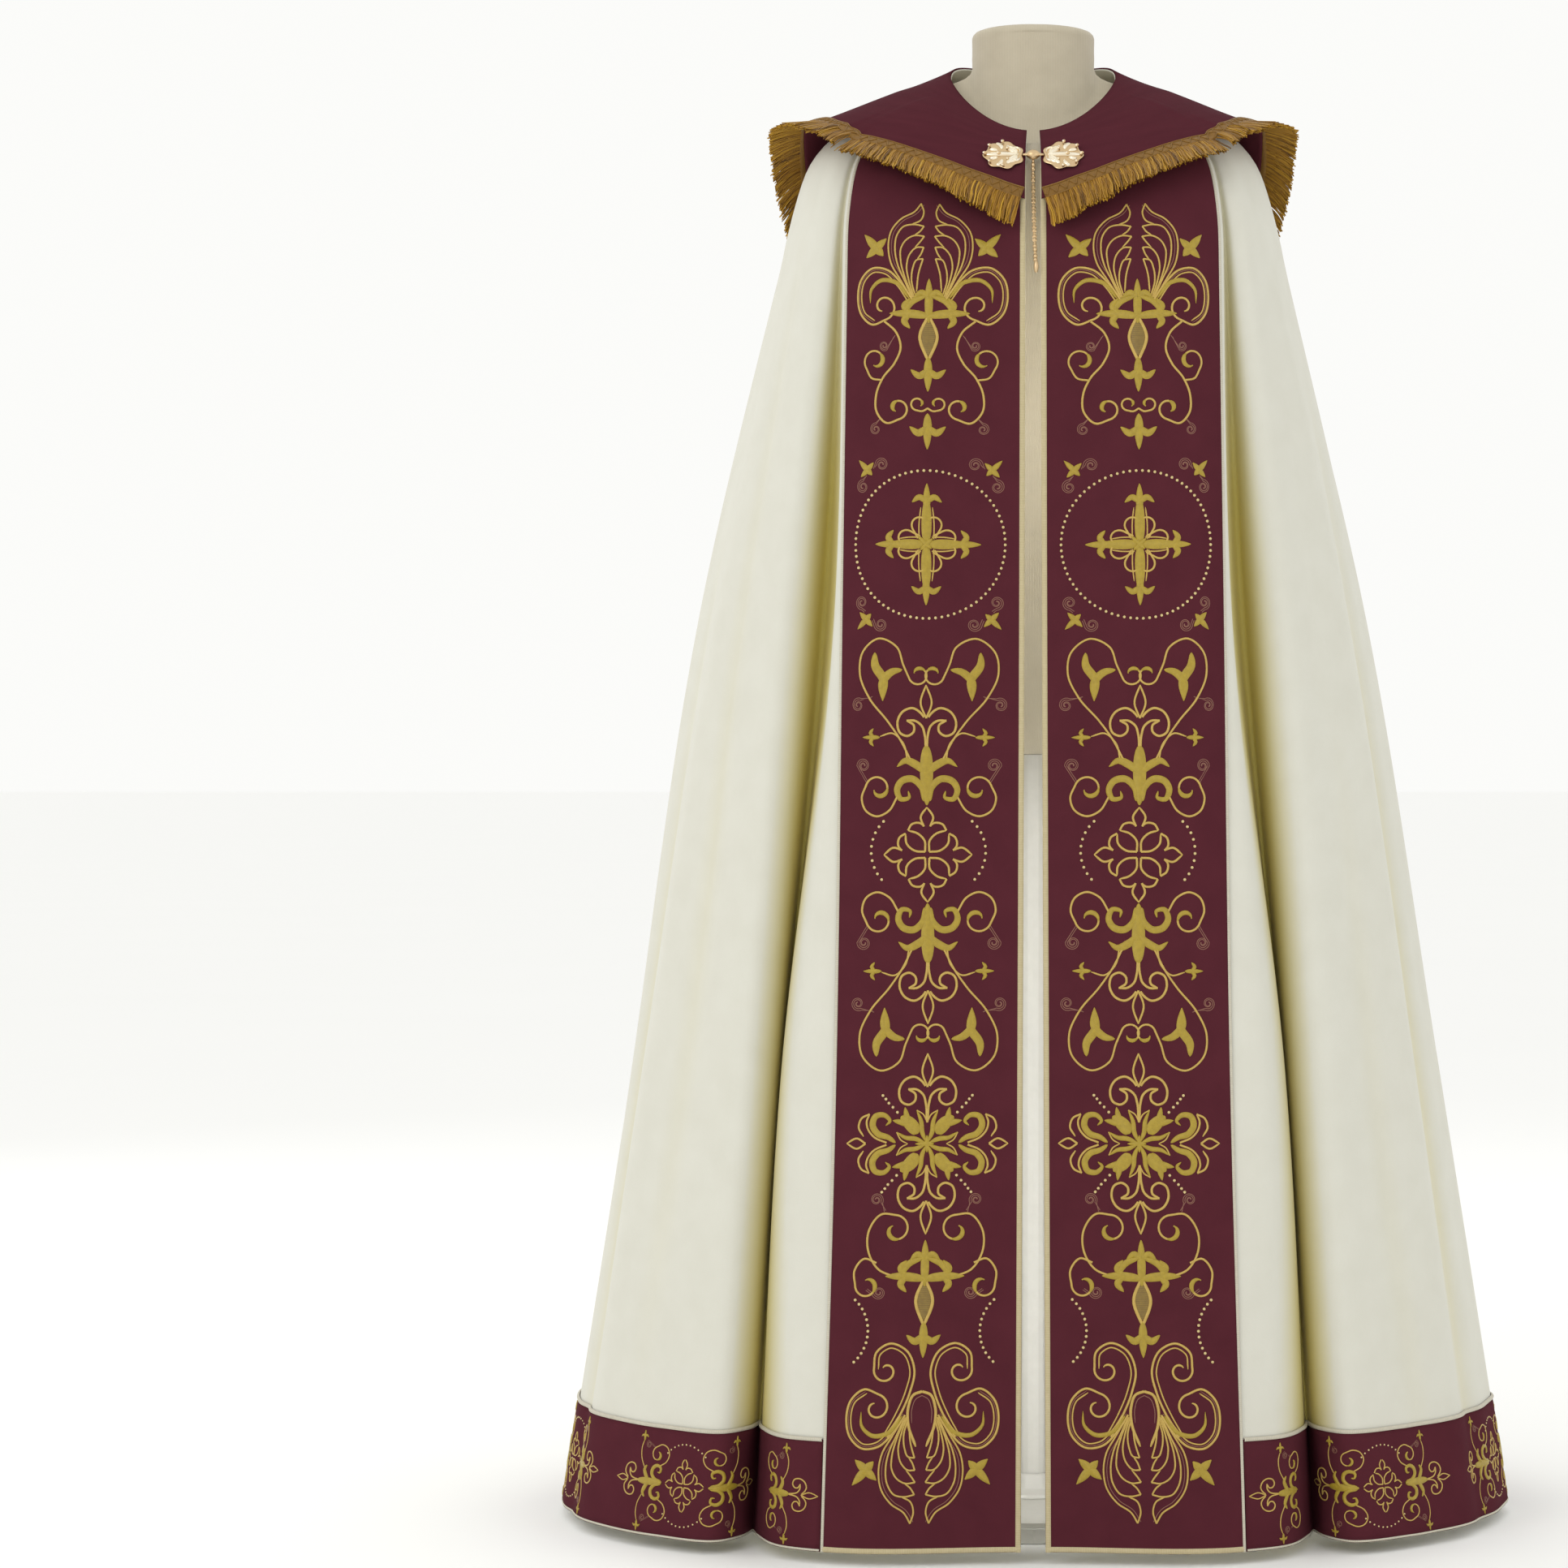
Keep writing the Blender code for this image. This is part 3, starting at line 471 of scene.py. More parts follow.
# Each row: u at top, u at foot, t at top, t at foot, half width in u, height in mm
CREASES = (
    (-0.655, -0.640, 0.14, 0.93, 0.012, -4.6),
    (-0.612, -0.596, 0.22, 1.10, 0.018, 6.4),
    (-0.566, -0.560, 0.34, 1.12, 0.013, -6.6),
    (-0.520, -0.530, 0.16, 0.74, 0.016, 3.8),
    (-0.474, -0.462, 0.30, 1.25, 0.018, -8.4),
    (-0.425, -0.432, 0.18, 1.05, 0.018, 6.2),
    (-0.372, -0.364, 0.26, 1.18, 0.014, -6.4),
    (-0.330, -0.336, 0.40, 1.10, 0.013, 3.2),
    (-0.070, -0.058, 0.34, 0.92, 0.020, -2.4),
    (0.022, 0.030, 0.44, 1.10, 0.024, 2.6),
    (0.094, 0.086, 0.28, 0.80, 0.014, -2.2),
    (0.340, 0.332, 0.22, 0.98, 0.014, 3.0),
    (0.382, 0.372, 0.20, 1.16, 0.014, -7.2),
    (0.430, 0.420, 0.36, 1.20, 0.018, 6.8),
    (0.478, 0.488, 0.18, 0.82, 0.015, -5.4),
    (0.530, 0.520, 0.30, 1.22, 0.019, 5.6),
    (0.580, 0.592, 0.24, 1.14, 0.013, -7.6),
    (0.622, 0.610, 0.16, 1.08, 0.016, 4.6),
    (0.660, 0.648, 0.46, 1.12, 0.011, -3.4),
    (-0.905, -0.915, 0.30, 0.78, 0.030, -0.8),
    (0.930, 0.922, 0.38, 0.94, 0.026, 0.7),
)


def crease_height(u, t):
    """How far the creases move the cloth out at each point, in metres."""
    total = np.zeros_like(u)
    for u_top, u_foot, t_top, t_foot, half_width, height in CREASES:
        share = np.clip((t - t_top) / (t_foot - t_top), 0, 1)
        middle = u_top + (u_foot - u_top) * share + 0.004 * np.sin(9 * t + 40 * u_top)
        fade = np.sin(pi * share) ** 0.8
        total += 0.001 * height * fade * np.exp(-(((u - middle) / half_width) ** 2))
    return total


def smooth_surface(u, t, bridged):
    reach = ROUNDING_REACH * np.exp(-(((t - SHOULDER_T) / 0.06) ** 2)) * np.clip(t / 0.06, 0, 1)
    return sum(share * bare_surface(u, np.clip(t + step * reach, 0, 1), bridged) for step, share in ROUNDING)


def ways_out(points):
    """Unit normals of a grid of points, rows down and columns round the cloth."""
    outward = np.cross(np.gradient(points, axis=1), np.gradient(points, axis=0))
    return outward / np.linalg.norm(outward, axis=2, keepdims=True)


class Cloth:
    """A fine grid of the cloth's outer face. Any sheet or stitch can ask it for points."""

    def __init__(self, us, ts, points):
        self.us, self.ts, self.points = us, ts, points
        self.outward = ways_out(points)

    def read(self, grid, u, t):
        column = np.clip((u - self.us[0]) / (self.us[1] - self.us[0]), 0, len(self.us) - 1.001)
        row = np.clip((t - self.ts[0]) / (self.ts[1] - self.ts[0]), 0, len(self.ts) - 1.001)
        c, r = column.astype(int), row.astype(int)
        x, y = (column - c)[..., None], (row - r)[..., None]
        upper = grid[r, c] * (1 - x) + grid[r, c + 1] * x
        lower = grid[r + 1, c] * (1 - x) + grid[r + 1, c + 1] * x
        return upper * (1 - y) + lower * y

    def way_out(self, u, t):
        """Unit normals of the cloth, at arrays of u and t."""
        outward = self.read(self.outward, u, t)
        return outward / np.linalg.norm(outward, axis=-1, keepdims=True)

    def at(self, u, t, out=0.0):
        """Points that lie out metres off the cloth, at arrays of u and t."""
        u, t, out = np.broadcast_arrays(np.asarray(u, float), np.asarray(t, float), np.asarray(out, float))
        return self.read(self.points, u, t) + out[..., None] * self.way_out(u, t)


CLOTH_COLUMNS, CLOTH_ROWS = 1201, 401


def make_cloth(bridged):
    us, ts = np.linspace(-1, 1, CLOTH_COLUMNS), np.linspace(0, 1, CLOTH_ROWS)
    u, t = (grid.ravel() for grid in np.meshgrid(us, ts))
    points = smooth_surface(u, t, bridged).reshape(len(ts), len(us), 3)
    if not bridged:
        points = points + crease_height(u, t).reshape(len(ts), len(us), 1) * ways_out(points)
    return Cloth(us, ts, points)


cloth = make_cloth(False)
crests = make_cloth(True)
print("cloth grid", cloth.points.shape, "lowest and highest z", cloth.points[..., 2].min(), cloth.points[..., 2].max())

# %% [markdown]
# ## From points to pieces
#
# A sheet is made from two grids of points, its outer and its inner face, joined round the rim. That gives the edge of
# the cloth a real thickness, which catches the light as a sewn edge does. Every corner also gets a UV coordinate in
# metres, for the weave.


# %% Mesh helpers
def add_piece(name, mesh, material):
    """Links a mesh as one smooth piece of the object."""
    made = bpy.data.objects.new(name, mesh)
    bpy.context.collection.objects.link(made)
    mesh.materials.append(material)
    mesh.shade_smooth()
    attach(made, "root")
    return made


def quad_mesh(name, points, quads, uvs, values=None, value_name="depth"):
    """A mesh of quads with a UV for each point, and one more value for each point where it is given."""
    mesh = bpy.data.meshes.new(name)
    mesh.vertices.add(len(points))
    mesh.vertices.foreach_set("co", np.asarray(points, np.float32).ravel())
    quads = np.asarray(quads, np.int32)
    mesh.loops.add(quads.size)
    mesh.loops.foreach_set("vertex_index", quads.ravel())
    mesh.polygons.add(len(quads))
    mesh.polygons.foreach_set("loop_start", np.arange(0, quads.size, 4, dtype=np.int32))
    mesh.uv_layers.new(name="cloth").data.foreach_set("uv", np.asarray(uvs, np.float32)[quads.ravel()].ravel())
    if values is not None:
        layer = mesh.attributes.new(value_name, "FLOAT", "POINT")
        layer.data.foreach_set("value", np.asarray(values, np.float32).ravel())
    mesh.update(calc_edges=True)
    mesh.validate()
    return mesh


def grid_quads(rows, columns, first=0, flip=False, closed=False):
    """Corner numbers of a grid's faces."""
    r, c = np.meshgrid(np.arange(rows - 1), np.arange(columns if closed else columns - 1), indexing="ij")
    d = (c + 1) % columns
    quads = np.stack((r * columns + c, (r + 1) * columns + c, (r + 1) * columns + d, r * columns + d), -1)
    quads = first + quads.reshape(-1, 4)
    return quads[:, ::-1] if flip else quads


def rim_quads(rows, columns, back):
    """Faces that join the edges of two grids, of which the second starts at corner back."""
    top, foot = np.arange(columns), (rows - 1) * columns + np.arange(columns)
    left, right = np.arange(rows) * columns, np.arange(rows) * columns + columns - 1
    made = []
    for line, flip in ((top, True), (foot, False), (left, False), (right, True)):
        quads = np.stack((line[:-1], line[:-1] + back, line[1:] + back, line[1:]), -1)
        made.append(quads[:, ::-1] if flip else quads)
    return np.concatenate(made)


def sheet_mesh(name, outer, inner, uvs, values=None):
    """A sheet with real thickness between two grids of points."""
    rows, columns = outer.shape[:2]
    count = rows * columns
    points = np.concatenate((outer.reshape(-1, 3), inner.reshape(-1, 3)))
    faces = (grid_quads(rows, columns), grid_quads(rows, columns, count, True), rim_quads(rows, columns, count))
    both = np.concatenate((uvs.reshape(-1, 2), uvs.reshape(-1, 2)))
    shade = None if values is None else np.concatenate((values.ravel(), values.ravel()))
    return quad_mesh(name, points, np.concatenate(faces), both, shade)


def ring_mesh(name, rings, flip=False, uv_axes=(0, 2)):
    """A skin over a stack of rings of points, which are closed round."""
    points = np.reshape(rings, (-1, 3))
    quads = grid_quads(len(rings), len(rings[0]), flip=flip, closed=True)
    return quad_mesh(name, points, quads, points[:, uv_axes])


def sheet_uvs(points):
    """Metres round and down the sheet."""
    across = np.cumsum(np.linalg.norm(np.diff(points, axis=1, prepend=points[:, :1]), axis=2), axis=1)
    down = np.cumsum(np.linalg.norm(np.diff(points, axis=0, prepend=points[:1]), axis=2), axis=0)
    middle = points.shape[1] // 2
    return np.stack((across - across[:, middle : middle + 1], down), -1)


def layer_area(points):
    """The area of a grid of points, in square metres."""
    sides = np.cross(np.diff(points, axis=0)[:, :-1], np.diff(points, axis=1)[:-1])
    return float(np.linalg.norm(sides, axis=2).sum())


print("mesh helpers ready")

# %% [markdown]
# ## The cream cloak
#
# A cope is cut from a half circle of cloth. This one has three parts, left, back and right, joined by two seams behind
# the shoulders. Its sheet lies on the surface's outer face and is 1.6 mm thick. The depth value sets the painted olive
# shade in the folds: it is how far a point lies inside the hood's bridged surface, which spans the valleys as a
# stretched cloth would. The troughs of the small creases add a little painted shade to it.

# %% Painted shade in the folds
FULL_SHADE_DEPTH, CREASE_SHADE = 0.042, 20


def painted_fold_shade(u, t):
    """Painted shade in the folds: 0 on the open cloth, up to 1 at the foot of the deepest valleys."""
    inside = crests.at(u, t) - cloth.at(u, t)
    depth = np.einsum("...i,...i", inside, crests.read(crests.outward, u, t))
    # The troughs of the creases add a little more painted shade.
    troughs = np.clip(-CREASE_SHADE * crease_height(u.ravel(), t.ravel()).reshape(u.shape), 0, 0.5)
    return np.clip(np.clip((depth - 0.004) / FULL_SHADE_DEPTH, 0, 1) ** 0.8 + troughs, 0, 1)


CLOAK_THICKNESS, SEAM_GAP = 0.0016, 0.0001
CLOAK_ROWS = 130
# Each row: low u, high u, columns, flat width, flat length
CLOAKS = {
    "cloak_left": (-1.0, -SEAM_U, 150, 1.10, 1.53),
    "cloak_back": (-SEAM_U, SEAM_U, 130, 1.02, 1.56),
    "cloak_right": (SEAM_U, 1.0, 150, 1.10, 1.53),
}
cloaks = {}
for name, (low, high, columns, width, length) in CLOAKS.items():
    u, t = np.meshgrid(np.linspace(low, high, columns), np.linspace(0, 1, CLOAK_ROWS))
    seam = SEAM_GAP * ((u == low) * (low > -1.0) - 1.0 * (u == high) * (high < 1.0))
    outer = cloth.at(u + seam, t)
    inner = cloth.at(u + seam, t, -CLOAK_THICKNESS)
    mesh = sheet_mesh(name + "_wool", outer, inner, sheet_uvs(outer), painted_fold_shade(u, t))
    piece = add_piece(name + "_wool", mesh, cream.material)
    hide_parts(name)
    round(layer_area(outer), 2)
    cloaks[name] = piece
    print(name, "area", round(layer_area(outer), 3), "faces", len(mesh.polygons))

# %% [markdown]
# ## The orphreys and the hem band
#
# Both are heavier maroon cloth, cut as strips and sewn flat onto the cream, so they take the cloak's folds. They are
# the same surface again, moved out by the gap and their own thickness.


# %% Laid bands
def t_of(height):
    """t at a height below the hood's level."""
    return SHOULDER_T + (LEVELS[-1] - np.asarray(height, float)) / (LEVELS[-1] - HEM_Z) * (1 - SHOULDER_T)


BAND_THICKNESS = 0.0015
ORPHREY_OUT = GAP + BAND_THICKNESS


def laid_band(name, u, t):
    """A maroon strip that lies on the cloak: its piece and its outer face."""
    outer = cloth.at(u, t, ORPHREY_OUT)
    mesh = sheet_mesh(name + "_cloth", outer, cloth.at(u, t, GAP), sheet_uvs(outer))
    piece = add_piece(name + "_cloth", mesh, maroon.material)
    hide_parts(name)
    print(name, "area", round(layer_area(outer), 4), "faces", len(mesh.polygons))
    return piece, outer


# %% Orphreys
ORPHREY_TOP_T, ORPHREY_COLUMNS, ORPHREY_ROWS = 0.080, 44, 220
orphreys, orphrey_faces = {}, {}
for name, side in (("orphrey_left", -1), ("orphrey_right", 1)):
    ends = sorted((side * ORPHREY_U, side * 1.0))
    grid = np.meshgrid(np.linspace(*ends, ORPHREY_COLUMNS), np.linspace(ORPHREY_TOP_T, 1, ORPHREY_ROWS))
    orphreys[side], orphrey_faces[side] = laid_band(name, *grid)

# %% Hem band
HEM_ROWS = 14
# Each row: low u, high u, columns
HEMS = {
    "hem_left": (-ORPHREY_U, -SEAM_U, 200),
    "hem_back": (-SEAM_U, SEAM_U, 180),
    "hem_right": (SEAM_U, ORPHREY_U, 200),
}
hems, hem_faces = {}, {}
band_t, HEM_INSET = float(t_of(BAND_TOP_Z)), 0.0008
for name, (low, high, columns) in HEMS.items():
    low, high = max(low, -ORPHREY_U + HEM_INSET), min(high, ORPHREY_U - HEM_INSET)
    grid = np.meshgrid(np.linspace(low, high, columns), np.linspace(band_t, 1, HEM_ROWS))
    hems[name], hem_faces[name] = laid_band(name, *grid)

# %% [markdown]
# ## The hood
#
# The hood began as a real hood and is now a shield of cloth that covers the shoulders and hangs behind. It lies on
# the crests of the folds, so its points come from the bridged surface. A table gives the height of its lower edge at
# each crest and how far that edge stands off the cloak, because the fringe pulls it down and the shoulders push it out.

# %% Hood surface
# Each row: edge height, lift
HOOD = {
    "centre_back": (1.165, 0.004), "back_panel": (1.192, 0.004), "back_lip": (1.214, 0.004),
    "back_flute": (1.250, 0.004), "back_seam": (1.335, 0.006), "side_back": (1.422, 0.010),
    "side": (1.446, 0.021), "side_front": (1.443, 0.021), "flute_outer": (1.437, 0.019),
    "flute_front": (1.429, 0.017), "orphrey_edge": (1.421, 0.014), "front_edge": (1.369, 0.004),
}
HOOD_WALL, HOOD_LIFT, HOOD_UNDER_HEADING = 0.0018, 0.004, 0.011
hood_knots = np.array([knot for knot, name in zip(KNOTS, NAMES) if name in HOOD])
hood_rows = np.array([HOOD[name] for name in NAMES if name in HOOD])


def hood_values(u):
    """Edge height and lift, read smoothly round the hood."""
    knots = np.concatenate((-hood_knots[:0:-1], hood_knots))
    rows, u = np.concatenate((hood_rows[:0:-1], hood_rows)), np.atleast_1d(u)
    reach = 0.035 * np.clip((1 - np.abs(u)) / 0.1, 0, 1)
    return np.mean([curve(knots, rows, u + step * reach) for step in (-1.0, -0.5, 0.0, 0.5, 1.0)], axis=0).T


edge_heights = hood_values(crests.us)[0]
EDGE_T = np.array([np.interp(-height, -crests.points[:, i, 2], crests.ts) for i, height in enumerate(edge_heights)])


def hood_at(u, v, out=0.0):
    """Points of the hood, v from 0 at the neckline to 1 at its seen lower edge."""
    u, v = np.broadcast_arrays(np.asarray(u, float), np.asarray(v, float))
    lift = hood_values(u.ravel())[1].reshape(u.shape)
    away = HOOD_LIFT * np.minimum(1, 3 * v) + (lift - HOOD_LIFT) * v**3
    ripple = 0.0011 * np.sin(23 * u + 2.0) * np.sin(pi * np.clip(v, 0, 1)) ** 2
    return crests.at(u, v * np.interp(u, crests.us, EDGE_T), GAP + away + ripple + out)


edge_length = way_along(hood_at(crests.us, 1.0))
print("hood edge", round(edge_length[-1], 3), "m")

# %% Hood sheet
HOOD_MESH_COLUMNS, HOOD_MESH_ROWS = 300, 44
u, v = np.meshgrid(np.linspace(-1, 1, HOOD_MESH_COLUMNS), np.linspace(0, 1, HOOD_MESH_ROWS))
below = np.linalg.norm(hood_at(u[0], 1.02) - hood_at(u[0], 1.0), axis=1)
v = v * (1 + 0.02 * HOOD_UNDER_HEADING / below)
outer, inner = hood_at(u, v, HOOD_WALL), hood_at(u, v)
mesh = sheet_mesh("hood_cloth", outer, inner, sheet_uvs(outer))
hood = add_piece("hood_cloth", mesh, maroon.material)
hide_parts("hood")
hood_area = layer_area(outer)
print("hood area", round(hood_area, 3), "m2")

# %% [markdown]
# ## Ribbons of thread
#
# Braid, piping and embroidery are all the same thing at different sizes: a narrow raised ribbon that follows a line
# on the cloth. One helper makes them all. It gets lines of points with the way out of the cloth at each, and sets a
# low rounded section across every line.

# %% Ribbon helper
SECTION_ACROSS = np.array((-0.5, -0.36, 0.0, 0.36, 0.5))
SECTION_RISE = np.array((-0.25, 0.68, 1.0, 0.68, -0.25))


def ribbon_mesh(name, runs):
    """Raised ribbons. A run is points, ways out, widths and heights, each with one entry for a point of the line."""
    points, quads, uvs, count = [], [], [], 0
    for line, outward, widths, heights in runs:
        forward = np.gradient(line, axis=0)
        sideways = np.cross(forward, outward)
        sideways /= np.maximum(np.linalg.norm(sideways, axis=1, keepdims=True), 1e-9)
        across = SECTION_ACROSS[None, :, None] * np.asarray(widths)[:, None, None] * sideways[:, None]
        rise = SECTION_RISE[None, :, None] * np.asarray(heights)[:, None, None] * outward[:, None]
        points.append((line[:, None] + across + rise).reshape(-1, 3))
        u = np.repeat(way_along(line)[:, None], 5, axis=1)
        uvs.append(np.stack((u, SECTION_ACROSS[None, :] * np.asarray(widths)[:, None]), -1).reshape(-1, 2))
        quads.append(grid_quads(len(line), 5, count))
        count += len(line) * 5
    return quad_mesh(name, np.concatenate(points), np.concatenate(quads), np.concatenate(uvs))


def cloth_run(u, t, out, width, height):
    """A run along a line on the cloak."""
    u, t = np.broadcast_arrays(np.asarray(u, float), np.asarray(t, float))
    return cloth.at(u, t, out), cloth.way_out(u, t), np.full(len(u), width), np.full(len(u), height)


print("ribbon section of", len(SECTION_ACROSS), "points")

# %% [markdown]
# ## Borders and piping
#
# A flat beige border edges each orphrey along the front opening and round its foot, and hides the raw edge. A thinner
# cream piping runs down its outer side. More piping covers the seam on top of the hem band, and a very thin pale edge
# closes its foot.

# %% Borders
BORDER_WIDTH, BORDER_HEIGHT = 0.0056, 0.0011
PIPING_WIDTH, PIPING_HEIGHT = 0.0034, 0.0016
ORPHREY_WIDTH, CLOAK_LENGTH = 0.196, 1.55
border_du = 0.5 * BORDER_WIDTH / ORPHREY_WIDTH * (1 - ORPHREY_U)
down = np.linspace(ORPHREY_TOP_T + 0.001, 1.0, 260)
border_runs, piping_runs = [], []
for side in (-1, 1):
    foot_t = 1 - 0.5 * BORDER_WIDTH / CLOAK_LENGTH
    border_runs.append(cloth_run(side * (1 - border_du), down, ORPHREY_OUT, BORDER_WIDTH, BORDER_HEIGHT))
    across = np.linspace(1.0, ORPHREY_U, 60) * side
    border_runs.append(cloth_run(across, foot_t, ORPHREY_OUT, BORDER_WIDTH, BORDER_HEIGHT))
    piping_u = side * (ORPHREY_U + 0.0006)
    piping_runs.append(cloth_run(piping_u, down, ORPHREY_OUT - 0.0003, PIPING_WIDTH, PIPING_HEIGHT))
border = add_piece("orphrey_borders", ribbon_mesh("orphrey_borders", border_runs), border_braid)

round_way = np.linspace(-ORPHREY_U + 0.001, ORPHREY_U - 0.001, 600)
piping_runs.append(cloth_run(round_way, band_t, ORPHREY_OUT - 0.0004, 0.0042, 0.0020))
piping_runs.append(cloth_run(round_way, 1 - 0.0009, ORPHREY_OUT - 0.0004, 0.0026, 0.0010))
piping = add_piece("piping", ribbon_mesh("piping", piping_runs), piping_cord)
print("trim faces", len(border.data.polygons), len(piping.data.polygons))

# %% [markdown]
# ## The fringe
#
# The fringe is sold by the metre: a woven heading, sewn over the hood's edge, from which twisted rayon strands hang.
# The heading is a thin curved band with a zigzag cord and two straight ones on it. The strands are thousands of
# narrow three-sided tapers. Each one starts at the heading, bends over and hangs down, and differs a little from its
# neighbours in length, direction and tone. A fixed seed makes them the same on every run.

# %% Along the hood's edge
HEADING_HEIGHT, HEADING_GAP, HEADING_THICKNESS = 0.014, 0.0004, 0.0014


def edge_frame(count):
    """Even places along the hood's edge: points, and the ways along, away from the neck and out."""
    u = np.interp(np.linspace(0, 1, count) * edge_length[-1], edge_length, crests.us)
    top = hood_at(u, 1.0, HOOD_WALL)
    along = np.gradient(top, axis=0)
    along /= np.linalg.norm(along, axis=1, keepdims=True)
    down = hood_at(u, 1.01) - hood_at(u, 0.99)
    out = np.cross(along, down)
    out /= np.linalg.norm(out, axis=1, keepdims=True)
    away = np.cross(out, along)
    away *= np.sign(np.einsum("ij,ij->i", away, down))[:, None]
    return top, along, away, out


def tube_mesh(name, lines, radius, sides=6, squash=1.0):
    """Round tubes along lines, each a pair of points and ways out."""
    angle = np.linspace(0, tau, sides, endpoint=False)
    points, quads, uvs, count = [], [], [], 0
    for line, outward in lines:
        forward = np.gradient(line, axis=0)
        sideways = np.cross(forward, outward)
        sideways /= np.linalg.norm(sideways, axis=1, keepdims=True)
        across = np.cos(angle)[None, :, None] * sideways[:, None]
        ring = across + squash * np.sin(angle)[None, :, None] * outward[:, None]
        points.append((line[:, None] + radius * ring).reshape(-1, 3))
        u = np.repeat(way_along(line)[:, None], sides, axis=1)
        uvs.append(np.stack((u, np.repeat(angle[None] * radius, len(line), axis=0)), -1).reshape(-1, 2))
        quads.append(grid_quads(len(line), sides, count, closed=True))
        count += len(line) * sides
    return quad_mesh(name, np.concatenate(points), np.concatenate(quads), np.concatenate(uvs))


top, along, away, out = edge_frame(700)
rows = np.linspace(0, 1, 5)[:, None, None]
crown = (1 - (2 * rows - 1) ** 2) * 0.0006
outer = top + (HEADING_GAP + HEADING_THICKNESS) * out + rows * HEADING_HEIGHT * away + crown * out
inner = top + HEADING_GAP * out + rows * HEADING_HEIGHT * away
mesh = sheet_mesh("fringe_heading", outer, inner, sheet_uvs(outer))
heading = add_piece("fringe_heading", mesh, heading_braid)

ZIGZAG_POINTS, ZIGZAG_STEP = 2400, 0.0052
fine_top, _, fine_away, fine_out = edge_frame(ZIGZAG_POINTS)
zigzag = np.abs((np.arange(ZIGZAG_POINTS) * edge_length[-1] / ZIGZAG_POINTS / ZIGZAG_STEP) % 2 - 1)
face = HEADING_GAP + HEADING_THICKNESS + 0.0008
middle = fine_top + face * fine_out + (0.0030 + 0.0078 * zigzag[:, None]) * fine_away
cords = [(middle, fine_out)]
for row in (0.0012, 0.0128):
    cords.append((top + (face - 0.0004) * out + row * away, out))
zigzag_cord = add_piece("heading_cord", tube_mesh("heading_cord", cords, 0.00085, 4), heading_braid)
print("heading", len(heading.data.polygons), "cords", len(zigzag_cord.data.polygons))

# %% Strands
STRANDS, STRAND_POINTS, STRAND_LENGTH, STRAND_RADIUS = 3900, 6, 0.0275, 0.00098
rng = np.random.default_rng(11)
top, along, away, out = edge_frame(STRANDS)
bunch = 0.5 + 0.5 * np.sin(np.arange(STRANDS) * 0.46) * np.sin(np.arange(STRANDS) * 0.123)
foot = top + (HEADING_GAP + 0.0009 + rng.uniform(-0.0004, 0.0008, (STRANDS, 1))) * out
foot += (HEADING_HEIGHT - 0.0012) * away
hang = np.array((0, 0, -1.0)) + 0.45 * away
hang -= np.einsum("ij,ij->i", hang, out)[:, None] * out
hang /= np.linalg.norm(hang, axis=1, keepdims=True)
hang += 0.10 * out + rng.normal(0, 0.035, (STRANDS, 1)) * along + rng.normal(0, 0.05, (STRANDS, 1)) * out
leave = away + 0.22 * out
s = np.linspace(0, 1, STRAND_POINTS)[None, :, None]
length = STRAND_LENGTH * (0.93 + 0.09 * bunch + rng.uniform(-0.05, 0.05, STRANDS))[:, None, None]
wave = 0.0006 * np.sin(7 * s + rng.uniform(0, tau, (STRANDS, 1, 1)))
bend = (s - s * s / 2) * leave[:, None] + s * s / 2 * hang[:, None] + 0.5 * s * hang[:, None]
line = foot[:, None] + length * bend * 0.86
line = line + wave * along[:, None] + 0.0012 * s * (bunch[:, None, None] - 0.5) * along[:, None]
forward = np.gradient(line, axis=1)
other = np.cross(forward, along[:, None])
other /= np.linalg.norm(other, axis=2, keepdims=True)
angle = np.array((pi / 2, pi * 7 / 6, pi * 11 / 6))
radius = STRAND_RADIUS * (1 - 0.25 * s) * rng.uniform(0.8, 1.2, (STRANDS, 1, 1))
ring = np.cos(angle)[:, None] * along[:, None, None] + np.sin(angle)[:, None] * other[:, :, None]
points = (line[:, :, None] + radius[..., None] * ring).reshape(-1, 3)
one = grid_quads(STRAND_POINTS, 3, closed=True)
quads = (one[None] + (np.arange(STRANDS) * STRAND_POINTS * 3)[:, None, None]).reshape(-1, 4)
uvs = np.stack(np.broadcast_arrays(s * STRAND_LENGTH, 0.001 * angle[None, None]), -1)
uvs = np.broadcast_to(uvs, (STRANDS, STRAND_POINTS, 3, 2)).reshape(-1, 2)
tones = np.clip(0.50 + 0.55 * (bunch - 0.5) + rng.normal(0, 0.15, STRANDS), 0, 1)
# Along each strand the tone rises from 0.75 at the root to 1.12 at the tip: painted shade at the root, under the
# heading.
tones = np.repeat(tones[:, None] * np.linspace(0.75, 1.12, STRAND_POINTS), 3)
mesh = quad_mesh("fringe_strands", points, quads, uvs, tones, "tone")
strands = add_piece("fringe_strands", mesh, fringe.material)
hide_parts("hood_fringe")
print("strands", STRANDS, "triangles", 2 * len(quads))

# %% [markdown]
# ## The clasp, its hook and its chain
#
# The clasp is called a morse. Each half is a cast leaf on a lobed back plate, and a turned knob in the middle hides
# the hook that joins them. A short string of beads hangs from it.

# %% Clasp halves
CLASP_X, CLASP_Z, CLASP_HALF_WIDTH, CLASP_HALF_HEIGHT = 0.0295, 1.4050, 0.0220, 0.0225
CLASP_THICKNESS, CLASP_GAP, CLASP_LOBES, CLASP_LOBE_DEPTH, CLASP_SIDES = 0.0016, 0.0019, 7, 0.14, 112


def hood_place(x, z):
    """u and v where the right half of the hood passes through a place seen from the front."""
    u, v = np.meshgrid(np.linspace(SEAM_U + 0.2, 1, 400), np.linspace(0, 1, 200))
    points = hood_at(u, v)
    nearest = np.argmin((points[..., 0] - x) ** 2 + (points[..., 2] - z) ** 2)
    return u.ravel()[nearest], v.ravel()[nearest]


